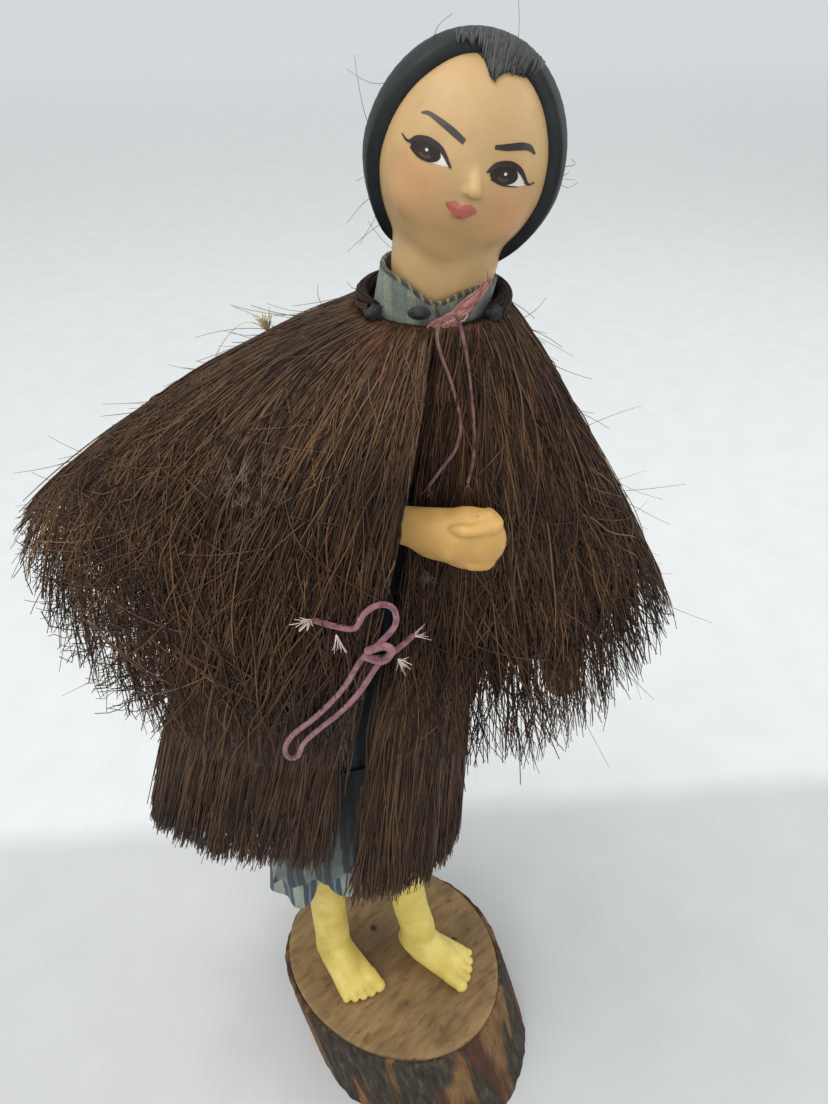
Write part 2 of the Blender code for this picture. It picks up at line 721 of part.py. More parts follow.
def make_neck_binding(look):
    """A roll of fibre round the collar, thicker at its two ends, open across the front."""
    count = 27
    points, radii = [], []
    for i in range(count):
        near_end = max(0.0, 1 - min(i, count - 1 - i) / 2.5)
        angle = BINDING_ENDS[0] + (BINDING_ENDS[1] - BINDING_ENDS[0]) * i / (count - 1)
        points.append(around(234.1, angle, 10.6 + 0.5 * near_end))
        radii.append(1.05 + 0.4 * near_end)
    solid_rings("mantle_neck_binding", rings_along(points, radii, 10), look)


def make_cape():
    palm = material("palm_fibre", PALM, 0.85)
    bound = material("fibre_binding", PALM_DARK, 0.9)
    grid = mantle_grid()
    thick_sheet("cape_mantle", grid, inset(grid, FIBRE), False, palm)
    grid = skirt_grid()
    thick_sheet("cape_skirt", grid, inset(grid, FIBRE), False, palm)
    make_neck_binding(bound)
    waist = [skirt_point((187.9, -4.5, 3.5, 24.6, 21.1), a) for a in sheet_angles(SKIRT_SLIT, 25)]
    solid_rings("skirt_waist_binding", rings_along(waist, [1.3] * 25, 10), bound)


def cord(name, points, radius, look):
    """A cord as a beveled poly curve, read from a smooth line through its points."""
    curve = bpy.data.curves.new(name, "CURVE")
    curve.dimensions = "3D"
    curve.bevel_depth = radius * MM
    curve.bevel_resolution = 2
    curve.use_fill_caps = True
    spots = smooth_curve(points, 2)
    spline = curve.splines.new("POLY")
    spline.points.add(len(spots) - 1)
    for point, spot in zip(spline.points, spots):
        point.co = (*(spot * MM), 1)
    made = bpy.data.objects.new(name, curve)
    bpy.context.scene.collection.objects.link(made)
    curve.materials.append(look)
    return made


def build():
    clear_scene()
    slice_ = make_base()
    right = make_leg("right", RIGHT_TOE, RIGHT_ANKLE, RIGHT_KNEE, slice_)
    left = make_leg("left", LEFT_TOE, LEFT_ANKLE, LEFT_KNEE, slice_)
    make_leg_core("right", right, RIGHT_KNEE, RIGHT_HIP, RIGHT_HEM, 12.5)
    make_leg_core("left", left, LEFT_KNEE, LEFT_HIP, LEFT_HEM, 10.0)
    make_torso()
    make_tunic()
    right_path = make_arm("right", RIGHT_ARM, RIGHT_WRIST, RIGHT_FIST)
    left_path = make_arm("left", LEFT_ARM, LEFT_WRIST, LEFT_FIST)
    make_arm_wire(right_path, left_path)
    make_head()
    make_cape()
    pink = material("pink_cord", PINK, 0.8)
    cord("waist_tie_cord", WAIST_CORD, WAIST_CORD_RADIUS, pink)
    cord("neck_tie_cord", NECK_CORD, NECK_CORD_RADIUS, pink)


build()
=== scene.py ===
"""Looks for the costume doll in a palm-fibre rain cape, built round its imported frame.

Shapes are written in millimetres and become metres when a mesh is made.
"""

import math

import bmesh
import bpy
import numpy as np
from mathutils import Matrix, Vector
from mathutils.bvhtree import BVHTree


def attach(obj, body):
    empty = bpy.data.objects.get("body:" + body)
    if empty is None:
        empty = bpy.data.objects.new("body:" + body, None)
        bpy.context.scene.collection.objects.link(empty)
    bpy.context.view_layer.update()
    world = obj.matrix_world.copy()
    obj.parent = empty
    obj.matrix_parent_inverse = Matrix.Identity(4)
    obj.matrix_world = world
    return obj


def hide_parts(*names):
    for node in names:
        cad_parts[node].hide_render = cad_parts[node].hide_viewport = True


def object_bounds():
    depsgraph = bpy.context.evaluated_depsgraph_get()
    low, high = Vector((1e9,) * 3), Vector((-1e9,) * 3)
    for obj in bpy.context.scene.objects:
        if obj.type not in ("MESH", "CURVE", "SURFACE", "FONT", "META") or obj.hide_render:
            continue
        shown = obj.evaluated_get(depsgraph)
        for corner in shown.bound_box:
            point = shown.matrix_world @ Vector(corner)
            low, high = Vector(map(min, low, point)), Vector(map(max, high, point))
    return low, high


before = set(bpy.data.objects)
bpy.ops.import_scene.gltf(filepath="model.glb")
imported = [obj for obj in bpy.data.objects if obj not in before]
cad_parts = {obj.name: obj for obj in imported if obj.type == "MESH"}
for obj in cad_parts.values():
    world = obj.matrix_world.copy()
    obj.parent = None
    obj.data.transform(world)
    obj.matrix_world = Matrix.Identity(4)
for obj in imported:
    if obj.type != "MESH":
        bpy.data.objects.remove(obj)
CAD_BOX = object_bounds()
MM = 0.001
SEED = 7
rng = np.random.default_rng(SEED)
FIGURE = "figure"


def vec(*values):
    return np.array(values, dtype=float)


def unit(v):
    return v / np.linalg.norm(v, axis=-1, keepdims=True)


# ---------------------------------------------------------------- camera
camera_data = bpy.data.cameras.new("camera")
camera_data.lens = 27.03
camera_data.sensor_width = 36.0
camera_data.clip_start = 0.005
camera = bpy.data.objects.new("camera", camera_data)
camera.location = (-0.0809, -0.0994, 0.277)
camera.rotation_euler = (math.radians(52.7), 0, math.radians(-42))
bpy.context.scene.collection.objects.link(camera)
bpy.context.scene.camera = camera
bpy.context.scene.view_settings.view_transform = "Standard"

# ---------------------------------------------------------------- shared places
NECK = vec(0.7, -12.7, 233.0)
HIPS = vec(-4.0, 15.0, 125.0)
AXIS_DROP = (HIPS - NECK) / (NECK[2] - HIPS[2])
FRONT_DEG = 228.0
FRONT = vec(math.cos(math.radians(FRONT_DEG)), math.sin(math.radians(FRONT_DEG)), 0)
SIDE = vec(-FRONT[1], FRONT[0], 0)
UP = vec(0, 0, 1)

MANTLE_NECK_RADIUS, MANTLE_NECK_HEIGHT = 10.4, 232.6
MANTLE_SLIT = (0.0, 8.0)
MANTLE_MID = (
    (-180, 27, 205),
    (-140, 30, 210),
    (-110, 35, 216),
    (-84, 37.5, 218),
    (-46, 35, 211.5),
    (-20, 35, 209.5),
    (0, 33.5, 208),
    (8, 21, 205),
    (20, 22, 205),
    (44, 27, 205),
    (88, 35, 204),
    (140, 30, 204),
    (180, 27, 205),
)
MANTLE_HEM = (
    (-180, 46, 168),
    (-140, 52, 180),
    (-110, 62, 190),
    (-84, 65, 193),
    (-66, 57, 178),
    (-46, 45, 159),
    (-20, 40, 160),
    (0, 38, 163),
    (8, 36, 163),
    (20, 41, 161),
    (44, 49, 160),
    (61, 53, 162),
    (75, 58, 163),
    (88, 64, 167),
    (110, 60, 166),
    (140, 50, 165),
    (180, 46, 168),
)
SKIRT_SLIT = (11.0, 19.0)
SKIRT_RINGS = (
    (186.0, -4.5, 3.5, 25.5, 22.0),
    (160.0, -5.0, 6.1, 29.0, 22.0),
    (128.0, -4.0, 5.4, 34.0, 26.5),
    (99.0, -2.8, 7.7, 38.0, 27.0),
)
SKIRT_HEM = (
    (-180, 5),
    (-90, 1),
    (-65, -4),
    (-45, -8.5),
    (-10, -10.5),
    (11, -8.5),
    (19, 7.5),
    (45, 12),
    (90, 14),
    (180, 5),
)


def axis_at(height):
    return NECK + AXIS_DROP * (NECK[2] - np.asarray(height, dtype=float)[..., None])


def around(height, degrees, radius):
    turn = np.radians(degrees)[..., None]
    return axis_at(height) + (FRONT * np.cos(turn) + SIDE * np.sin(turn)) * np.asarray(radius)[..., None]


def read_rows(rows, degrees):
    angles, radius, height = np.array(rows, dtype=float).T
    shifts = np.linspace(-7, 7, 5)
    spots = [np.clip(degrees + shift, angles[0], angles[-1]) for shift in shifts]
    return (
        np.mean([np.interp(s, angles, radius) for s in spots], axis=0),
        np.mean([np.interp(s, angles, height) for s in spots], axis=0),
    )


def mantle(degrees, share, lift=0.0):
    """Points on the cape's upper tier: degrees from the front, share of the way from neck to hem."""
    degrees, share = np.broadcast_arrays(np.asarray(degrees, float), np.asarray(share, float))
    turned = np.where(degrees > 180, degrees - 360, degrees)
    low, high = MANTLE_SLIT
    read = np.where(turned <= low, np.minimum(turned, low - 7), np.maximum(turned, high + 7))
    mid_radius, mid_height = read_rows(MANTLE_MID, read)
    hem_radius, hem_height = read_rows(MANTLE_HEM, read)
    start = (1 - share) * (1 - 2 * share)
    middle = 4 * share * (1 - share)
    end = share * (2 * share - 1)
    radius = start * MANTLE_NECK_RADIUS + middle * mid_radius + end * hem_radius
    height = start * MANTLE_NECK_HEIGHT + middle * mid_height + end * hem_height
    return around(height, degrees, radius + lift)


def skirt(degrees, share, lift=0.0):
    """Points on the cape's lower tier."""
    degrees, share = np.broadcast_arrays(np.asarray(degrees, float), np.asarray(share, float))
    turned = np.where(degrees > 180, degrees - 360, degrees)
    at = np.linspace(0, 1, len(SKIRT_RINGS))
    height, sideways, forward, wide, deep = (np.interp(share, at, v) for v in zip(*SKIRT_RINGS))
    # Past the last ring the lines run on straight.
    beyond = np.maximum(share - 1, 0)
    last, before = SKIRT_RINGS[-1], SKIRT_RINGS[-2]
    height = height + beyond * 3 * (last[0] - before[0])
    wide = wide + beyond * 3 * (last[3] - before[3])
    drops = list(zip(*SKIRT_HEM))
    drop = np.interp(turned, drops[0], drops[1])
    turn = np.radians(degrees)
    centre = axis_at(height)
    across = (sideways + (wide + lift) * np.sin(turn))[..., None]
    ahead = (forward + (deep + lift) * np.cos(turn))[..., None]
    return centre + SIDE * across + FRONT * ahead - UP * (drop * share)[..., None]


# ---------------------------------------------------------------- materials
def rgb(red, green, blue):
    """An sRGB colour, 0 to 255, as linear values."""
    return tuple(
        (c / 255 / 12.92) if c <= 10 else ((c / 255 + 0.055) / 1.055) ** 2.4 for c in (red, green, blue)
    )


class Look:
    """A node material. Places are in millimetres, so a noise scale is in cells per millimetre."""

    def __init__(self, name, roughness=0.7, metallic=0.0, specular=0.5, sheen=0.0):
        self.made = bpy.data.materials.new(name)
        self.made.use_nodes = True
        self.tree = self.made.node_tree
        self.shader = self.tree.nodes["Principled BSDF"]
        self.shader.inputs["Roughness"].default_value = roughness
        self.shader.inputs["Metallic"].default_value = metallic
        self.shader.inputs["Specular IOR Level"].default_value = specular
        self.shader.inputs["Sheen Weight"].default_value = sheen
        place = self.tree.nodes.new("ShaderNodeTexCoord").outputs["Object"]
        self.place = self.mapped((1 / MM,) * 3, place)

    def mapped(self, scale, source=None, turn=(0, 0, 0)):
        made = self.tree.nodes.new("ShaderNodeMapping")
        made.inputs["Scale"].default_value = scale
        made.inputs["Rotation"].default_value = [math.radians(a) for a in turn]
        self.put(made.inputs["Vector"], source or self.place)
        return made.outputs["Vector"]

    def put(self, socket, value):
        if isinstance(value, bpy.types.NodeSocket):
            self.tree.links.new(value, socket)
        elif isinstance(value, tuple) and len(value) == 3 and socket.type == "RGBA":
            socket.default_value = (*value, 1)
        else:
            socket.default_value = value

    def noise(self, scale, detail=3.0, place=None, warp=0.0, rough=0.5):
        made = self.tree.nodes.new("ShaderNodeTexNoise")
        made.inputs["Scale"].default_value = scale
        made.inputs["Detail"].default_value = detail
        made.inputs["Roughness"].default_value = rough
        made.inputs["Distortion"].default_value = warp
        self.put(made.inputs["Vector"], place or self.place)
        return made.outputs["Fac"]

    def wave(self, scale, place=None, warp=0.0, way="X", detail=2.0):
        made = self.tree.nodes.new("ShaderNodeTexWave")
        made.bands_direction = way
        made.inputs["Scale"].default_value = scale
        made.inputs["Distortion"].default_value = warp
        made.inputs["Detail"].default_value = detail
        self.put(made.inputs["Vector"], place or self.place)
        return made.outputs["Fac"]

    def ramp(self, value, *stops):
        made = self.tree.nodes.new("ShaderNodeValToRGB")
        line = made.color_ramp
        while len(line.elements) < len(stops):
            line.elements.new(0.5)
        for element, (at, colour) in zip(line.elements, stops):
            element.position = at
            element.color = (*colour, 1) if isinstance(colour, tuple) else (colour, colour, colour, 1)
        self.put(made.inputs["Fac"], value)
        return made.outputs["Color"]

    def mix(self, share, first, second, way="MIX"):
        made = self.tree.nodes.new("ShaderNodeMix")
        made.data_type = "RGBA"
        made.blend_type = way
        self.put(made.inputs["Factor"], share)
        self.put(made.inputs[6], first)
        self.put(made.inputs[7], second)
        return made.outputs[2]

    def calc(self, way, first, second=0.0):
        made = self.tree.nodes.new("ShaderNodeMath")
        made.operation = way
        self.put(made.inputs[0], first)
        self.put(made.inputs[1], second)
        return made.outputs[0]

    def near(self, spot, size, soft=1.0):
        """1 at a spot in millimetres, falling to 0 at a distance of size."""
        away = self.tree.nodes.new("ShaderNodeVectorMath")
        away.operation = "DISTANCE"
        self.put(away.inputs[0], self.place)
        away.inputs[1].default_value = tuple(spot)
        fall = self.tree.nodes.new("ShaderNodeMapRange")
        fall.interpolation_type = "SMOOTHSTEP"
        fall.inputs["From Min"].default_value = size * (1 - soft)
        fall.inputs["From Max"].default_value = size
        fall.inputs["To Min"].default_value = 1.0
        fall.inputs["To Max"].default_value = 0.0
        self.put(fall.inputs["Value"], away.outputs["Value"])
        return fall.outputs["Result"]

    def tone(self):
        made = self.tree.nodes.new("ShaderNodeAttribute")
        made.attribute_name = "tone"
        return made.outputs["Fac"]

    def split(self, source=None):
        made = self.tree.nodes.new("ShaderNodeSeparateXYZ")
        self.put(made.inputs[0], source or self.place)
        return made.outputs

    def colour(self, value):
        self.put(self.shader.inputs["Base Color"], value)
        return self

    def roughness(self, value):
        self.put(self.shader.inputs["Roughness"], value)
        return self

    def bump(self, height, depth, strength=1.0):
        made = self.tree.nodes.new("ShaderNodeBump")
        made.inputs["Strength"].default_value = strength
        made.inputs["Distance"].default_value = depth * MM
        self.put(made.inputs["Height"], height)
        self.put(self.shader.inputs["Normal"], made.outputs["Normal"])
        return self


def fibre_look(name, dark, mid, light, red):
    made = Look(name, 0.62, specular=0.25)
    tone = made.tone()
    base = made.ramp(tone, (0.0, dark), (0.35, mid), (0.8, light), (1.0, red))
    patchy = made.ramp(made.noise(0.06, 3.0), (0.35, 0.62), (0.7, 1.25))
    base = made.mix(1.0, base, patchy, "MULTIPLY")
    rubbed = made.near(RUB_SPOT, 11.0)
    streak = made.calc("MULTIPLY", rubbed, made.ramp(made.noise(0.5, 3.0), (0.5, 0.0), (0.62, 0.75)))
    base = made.mix(streak, base, rgb(120, 108, 98))
    reddish = made.calc(
        "MULTIPLY", made.near(RED_SPOT, 9.0), made.ramp(made.noise(0.4), (0.42, 0.0), (0.6, 0.8))
    )
    return made.colour(made.mix(reddish, base, rgb(112, 52, 38)))


def paint_look(name, low, high, worn, roughness=0.5, wear=0.0):
    made = Look(name, roughness, specular=0.4)
    blotch = made.noise(0.16, 4.0, rough=0.6)
    base = made.ramp(blotch, (0.3, low), (0.7, high))
    chips = made.ramp(made.noise(0.5, 5.0, rough=0.7), (0.68 - wear, 0.0), (0.72 - wear, 1.0))
    made.colour(made.mix(chips, base, worn))
    made.roughness(made.ramp(made.noise(0.9, 3.0), (0.3, roughness - 0.08), (0.7, roughness + 0.12)))
    return made.bump(made.noise(1.6, 4.0), 0.06, 0.5)


def cloth_look(name, ground, stripe, across, pitch, share=0.5, roughness=0.92, thread=None, painted_shade=False):
    """Striped cotton: stripes along one direction, and a fine weave as bump. With painted shade turned on,
    the cloth darkens upwards: shade painted into its colour.
    """
    made = Look(name, roughness, specular=0.15, sheen=0.25)
    turned = made.mapped((1, 1, 1), None, (0, 0, across))
    x, y, z = made.split(turned)
    wobble = made.calc("MULTIPLY", made.noise(0.12, 2.0), 1.6)
    line = made.calc("SINE", made.calc("MULTIPLY", made.calc("ADD", x, wobble), math.tau / pitch))
    bands = made.ramp(line, (share - 0.08, 1.0), (share + 0.08, 0.0))
    fade = made.ramp(made.noise(0.25, 4.0), (0.3, 0.75), (0.7, 1.2))
    striped = made.mix(bands, ground, stripe)
    if thread is not None:
        centre = made.ramp(made.calc("MULTIPLY", line, -1.0), (0.93, 0.0), (0.98, 1.0))
        striped = made.mix(centre, striped, thread)
    base = made.mix(1.0, striped, fade, "MULTIPLY")
    # Painted shade: the cloth darkens upwards, towards the cape that hangs over it.
    if painted_shade:
        shade_upward = made.ramp(made.calc("DIVIDE", z, 200.0), (0.43, 1.0), (0.56, 0.22))
        base = made.mix(1.0, base, shade_upward, "MULTIPLY")
    weave = made.calc("ADD", made.wave(3.2, None, 0.3, "Z"), made.wave(3.2, None, 0.3, "X"))
    fleck = made.ramp(made.noise(3.0, 2.0), (0.35, 0.8), (0.65, 1.15))
    return made.colour(made.mix(1.0, base, fleck, "MULTIPLY")).bump(weave, 0.05, 0.7)


RUB_SPOT = (-30.5, -11.0, 213.0)
RED_SPOT = (-12.0, -17.0, 226.0)

FACE = paint_look("face_paint_look", rgb(170, 138, 94), rgb(184, 152, 104), rgb(160, 128, 86), 0.5)
HAND = paint_look("hand_paint_look", rgb(178, 134, 72), rgb(198, 158, 90), rgb(146, 106, 62), 0.5, 0.02)
FOOT = paint_look("foot_paint_look", rgb(192, 168, 78), rgb(216, 196, 112), rgb(170, 148, 90), 0.5, 0.02)
HAIR = Look("hair_paint_look", 0.55, specular=0.3)
HAIR.colour(HAIR.ramp(HAIR.noise(0.5, 4.0, None, 0.6), (0.3, rgb(8, 12, 14)), (0.7, rgb(20, 26, 28))))
HAIR.bump(HAIR.noise(2.2, 4.0), 0.06, 0.5)
FORELOCK = Look("forelock_look", 0.6)
FORELOCK.colour(FORELOCK.ramp(FORELOCK.tone(), (0.0, rgb(20, 22, 25)), (1.0, rgb(64, 64, 64))))
PALM = fibre_look("palm_fibre_look", rgb(28, 18, 12), rgb(66, 45, 31), rgb(112, 84, 56), rgb(120, 66, 44))
BACKING = Look("fibre_backing_look", 0.9, specular=0.1)
BACKING.colour(BACKING.ramp(BACKING.noise(0.9, 5.0), (0.3, rgb(24, 16, 12)), (0.7, rgb(58, 40, 30))))
BACKING.bump(BACKING.noise(1.5, 4.0), 0.4)
DARK_FIBRE = Look("fibre_binding_look", 0.75, specular=0.2)
DARK_FIBRE.colour(DARK_FIBRE.ramp(DARK_FIBRE.tone(), (0.0, rgb(18, 13, 11)), (1.0, rgb(64, 44, 32))))
CLOTH = cloth_look(
    "striped_cloth_look", rgb(142, 152, 138), rgb(46, 58, 70), 42.0, 6.2, 0.09, 0.92, rgb(96, 120, 140)
)
DARK_CLOTH = cloth_look("dark_striped_cloth_look", rgb(66, 84, 98), rgb(20, 25, 32), 42.0, 8.4, 0.85)
# The front flap's cloth has painted shade: it darkens upwards, under the cape.
FLAP_CLOTH = cloth_look(
    "flap_cloth_look", rgb(104, 114, 108), rgb(26, 32, 40), 42.0, 7.0, 0.35, 0.92, rgb(62, 80, 96), True
)
COLLAR = cloth_look("collar_cloth_look", rgb(130, 136, 118), rgb(106, 114, 104), 42.0, 3.0)
PIPING = cloth_look("piping_look", rgb(126, 116, 84), rgb(62, 60, 50), 20.0, 1.1)
PINK = Look("pink_cord_look", 0.8, specular=0.2, sheen=0.3)
PINK.colour(PINK.ramp(PINK.noise(0.8, 3.0), (0.35, rgb(118, 62, 76)), (0.65, rgb(168, 108, 114))))
PINK.bump(PINK.wave(1.6, PINK.mapped((1, 1, 1), None, (35, 20, 40)), 0.5), 0.12)
PALE_PINK = Look("faded_tie_look", 0.85, specular=0.15)
PALE_PINK.colour(PALE_PINK.ramp(PALE_PINK.noise(0.6, 3.0), (0.35, rgb(88, 58, 58)), (0.65, rgb(128, 98, 92))))
PALE_PINK.bump(PALE_PINK.noise(2.0, 3.0), 0.08)
RIBBON = Look("faded_ribbon_look", 0.9, specular=0.1, sheen=0.2)
RIBBON.colour(RIBBON.ramp(RIBBON.tone(), (0.0, rgb(126, 72, 66)), (1.0, rgb(188, 140, 132))))
FRAY = Look("frayed_end_look", 0.85)
FRAY.colour(FRAY.ramp(FRAY.noise(1.2, 3.0), (0.35, rgb(186, 160, 156)), (0.65, rgb(226, 210, 200))))
BLACK = Look("black_cord_look", 0.75)
BLACK.colour(BLACK.ramp(BLACK.noise(1.5, 3.0), (0.3, rgb(16, 17, 20)), (0.7, rgb(38, 39, 42))))
BLACK.bump(BLACK.noise(3.0, 3.0), 0.15)
STEEL = Look("wire_look", 0.38, 1.0)
STEEL.colour(STEEL.ramp(STEEL.noise(0.6, 5.0), (0.35, rgb(150, 150, 152)), (0.75, rgb(110, 92, 76))))
STEEL.bump(STEEL.noise(2.0, 3.0), 0.04)
COTTON = Look("wound_cotton_look", 0.95, specular=0.1, sheen=0.3)
COTTON.colour(COTTON.ramp(COTTON.noise(0.7, 4.0), (0.3, rgb(188, 176, 152)), (0.7, rgb(220, 212, 192))))
COTTON.bump(COTTON.wave(0.7, None, 1.2, "Z"), 0.35)
PEG = Look("peg_wood_look", 0.6)
PEG.colour(
    PEG.ramp(PEG.wave(0.5, PEG.mapped((1, 1, 0.15)), 4.0), (0.2, rgb(128, 92, 58)), (0.8, rgb(166, 126, 84)))
)
PEG.bump(PEG.noise(1.4, 4.0, PEG.mapped((1, 1, 0.2))), 0.1)
STRAW = Look("straw_look", 0.7)
STRAW.colour(STRAW.ramp(STRAW.noise(1.0), (0.3, rgb(176, 158, 120)), (0.7, rgb(206, 190, 152))))

LINT = Look("grey_lint_look", 0.95)
LINT.colour(LINT.ramp(LINT.noise(1.0), (0.3, rgb(74, 66, 56)), (0.7, rgb(116, 108, 96))))


def wood_top_look():
    made = Look("stained_wood_look", 0.5, specular=0.4)
    saw = made.mapped((0.25, 1.0, 0.25), None, (0, 0, 24))
    band = made.noise(0.55, 4.0, saw, 0.4)
    base = made.ramp(band, (0.30, rgb(106, 82, 50)), (0.5, rgb(126, 100, 64)), (0.72, rgb(142, 114, 74)))
    mottled = made.ramp(made.noise(0.10, 3.0), (0.3, 0.72), (0.7, 1.12))
    base = made.mix(1.0, base, mottled, "MULTIPLY")
    # Painted shadow: the top darkens round the middle, where the doll stands over it.
    painted_shadow = made.near((-2.0, 4.0, 25.0), 17.0)
    base = made.mix(made.calc("MULTIPLY", painted_shadow, 0.6), base, rgb(74, 50, 30))
    flecks = made.ramp(made.noise(0.8, 2.0, saw), (0.62, 0.0), (0.70, 0.6))
    base = made.mix(flecks, base, rgb(64, 44, 28))
    for spot, size in (((0.5, 10.0, 25.0), 1.6), ((16.5, -9.5, 25.0), 1.3), ((19.0, 8.0, 25.0), 1.0)):
        base = made.mix(made.near(spot, size, 0.7), base, rgb(28, 18, 14))
    made.colour(base)
    return made.bump(made.calc("ADD", band, made.noise(1.4, 4.0)), 0.25, 0.6)


def bark_look():
    """Grey-brown outer bark, with tan and reddish strips where it has peeled, running down the slice."""
    made = Look("bark_look", 0.85, specular=0.3)
    x, y, z = made.split()
    joined = made.tree.nodes.new("ShaderNodeCombineXYZ")
    made.put(joined.inputs[0], x)
    made.put(joined.inputs[1], made.calc("SUBTRACT", y, made.calc("MULTIPLY", z, 0.48)))
    made.put(joined.inputs[2], made.calc("MULTIPLY", z, 0.25))
    sheared = joined.outputs[0]
    grain = made.noise(0.7, 6.0, sheared, 0.5, 0.65)
    outer = made.ramp(grain, (0.30, rgb(26, 23, 18)), (0.52, rgb(56, 50, 40)), (0.72, rgb(92, 82, 66)))
    strips = made.noise(0.085, 2.0, sheared, 0.4)
    peeled = made.ramp(strips, (0.49, 0.0), (0.52, 1.0))
    red = made.ramp(grain, (0.3, rgb(52, 30, 24)), (0.7, rgb(84, 52, 40)))
    tan = made.ramp(made.noise(0.12, 3.0, sheared), (0.45, 0.0), (0.55, 1.0))
    tan_colour = made.ramp(grain, (0.3, rgb(84, 60, 38)), (0.7, rgb(128, 98, 62)))
    base = made.mix(peeled, outer, made.mix(tan, red, tan_colour))
    made.colour(base)
    height = made.calc("ADD", grain, made.calc("MULTIPLY", peeled, -0.8))
    return made.bump(height, 0.8, 0.8)


WOOD_TOP, BARK = wood_top_look(), bark_look()


# ---------------------------------------------------------------- meshes
def add_object(name, mesh, look, body=FIGURE, nodes=(), slot=None, angle=60):
    made = bpy.data.objects.new(name, mesh)
    bpy.context.scene.collection.objects.link(made)
    mesh.materials.append(look.made)
    mesh.shade_smooth()
    if angle:
        mesh.set_sharp_from_angle(angle=math.radians(angle))
    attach(made, body)
    if nodes:
        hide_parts(*nodes)
    return made


def outward(mesh):
    bm = bmesh.new()
    bm.from_mesh(mesh)
    bmesh.ops.recalc_face_normals(bm, faces=bm.faces)
    bm.to_mesh(mesh)
    bm.free()


def mesh_from(name, points, faces):
    mesh = bpy.data.meshes.new(name)
    mesh.from_pydata((np.asarray(points) * MM).tolist(), [], faces)
    mesh.update()
    return mesh


def shell(name, outer, inner, look, wrap=True, **where):
    """A thin closed body between two grids of points (rows, columns, 3)."""
    outer, inner = np.asarray(outer), np.asarray(inner)
    rows, columns = outer.shape[:2]
    half = rows * columns
    points = np.concatenate([outer.reshape(-1, 3), inner.reshape(-1, 3)])
    steps = columns if wrap else columns - 1
    faces = []
    for i in range(rows - 1):
        for j in range(steps):
            k = (j + 1) % columns
            a, b, c, d = i * columns + j, i * columns + k, (i + 1) * columns + k, (i + 1) * columns + j
            faces.append((a, b, c, d))
            faces.append((a + half, d + half, c + half, b + half))
    for i in (0, rows - 1):
        for j in range(steps):
            a, b = i * columns + j, i * columns + (j + 1) % columns
            faces.append((a, a + half, b + half, b))
    if not wrap:
        for i in range(rows - 1):
            for j in (0, columns - 1):
                a, d = i * columns + j, (i + 1) * columns + j
                faces.append((a, d, d + half, a + half))
    mesh = mesh_from(name, points, faces)
    outward(mesh)
    return add_object(name, mesh, look, **where)


def strands(name, lines, radii, tones, look, sides=3, **where):
    """Many thin closed tubes as one mesh. lines is (count, steps, 3) and radii (count, steps)."""
    lines = np.asarray(lines, float)
    count, steps = lines.shape[:2]
    ahead = unit(np.gradient(lines, axis=1))
    other = unit(rng.normal(size=(count, 1, 3)))
    first = unit(np.cross(ahead, other) + 1e-6)
    second = np.cross(ahead, first)
    points = []
    for j in range(sides):
        turn = math.tau * j / sides
        points.append(lines + radii[..., None] * (first * math.cos(turn) + second * math.sin(turn)))
    points = np.stack(points, axis=2)
    base = (np.arange(count) * steps * sides)[:, None, None]
    row = (np.arange(steps - 1) * sides)[None, :, None]
    j = np.arange(sides)[None, None, :]
    k = (j + 1) % sides
    quads = np.stack([base + row + j, base + row + k, base + row + sides + k, base + row + sides + j], -1)
    faces = quads.reshape(-1, 4).tolist()
    start = base[:, 0] + np.arange(sides)[::-1]
    faces += start.tolist()
    faces += (base[:, 0] + (steps - 1) * sides + np.arange(sides)).tolist()
    mesh = mesh_from(name, points.reshape(-1, 3), faces)
    tone = mesh.attributes.new("tone", "FLOAT", "POINT")
    tone.data.foreach_set("value", np.repeat(np.asarray(tones, float), steps * sides))
    return add_object(name, mesh, look, angle=0, **where)


def smooth_line(points, steps):
    """Points along a Catmull-Rom curve through the given points."""
    route = [vec(*p) for p in points]
    ends = [2 * route[0] - route[1], *route, 2 * route[-1] - route[-2]]
    found = []
    for a, b, c, d in zip(ends, ends[1:], ends[2:], ends[3:]):
        for i in range(steps):
            t = i / steps
            bend = 2 * a - 5 * b + 4 * c - d
            cubic = 3 * b - a - 3 * c + d
            found.append(0.5 * (2 * b + (c - a) * t + bend * t * t + cubic * t**3))
    found.append(route[-1])
    return np.array(found)


def spread(values, count):
    return np.interp(np.linspace(0, 1, count), np.linspace(0, 1, len(values)), values)


def ring_grid(path, radii, sides, flat=1.0, shape=None):
    """Rings across a path, carried along without twisting. shape(share, turn) scales the radius."""
    rings, across = [], None
    for i, centre in enumerate(path):
        ahead = unit(path[min(i + 1, len(path) - 1)] - path[max(i - 1, 0)])
        if across is None:
            across = np.cross(ahead, UP)
            if np.linalg.norm(across) < 0.2:
                across = np.cross(ahead, vec(0, 1, 0))
        across = unit(across - ahead * across.dot(ahead))
        over = np.cross(across, ahead)
        turn = math.tau * np.arange(sides) / sides
        scale = radii[i] * (shape(i / (len(path) - 1), turn) if shape else 1.0)
        ring = centre + across * (scale * np.cos(turn))[:, None] + over * (
            scale * flat * np.sin(turn)
        )[:, None]
        rings.append(ring)
    return np.array(rings)


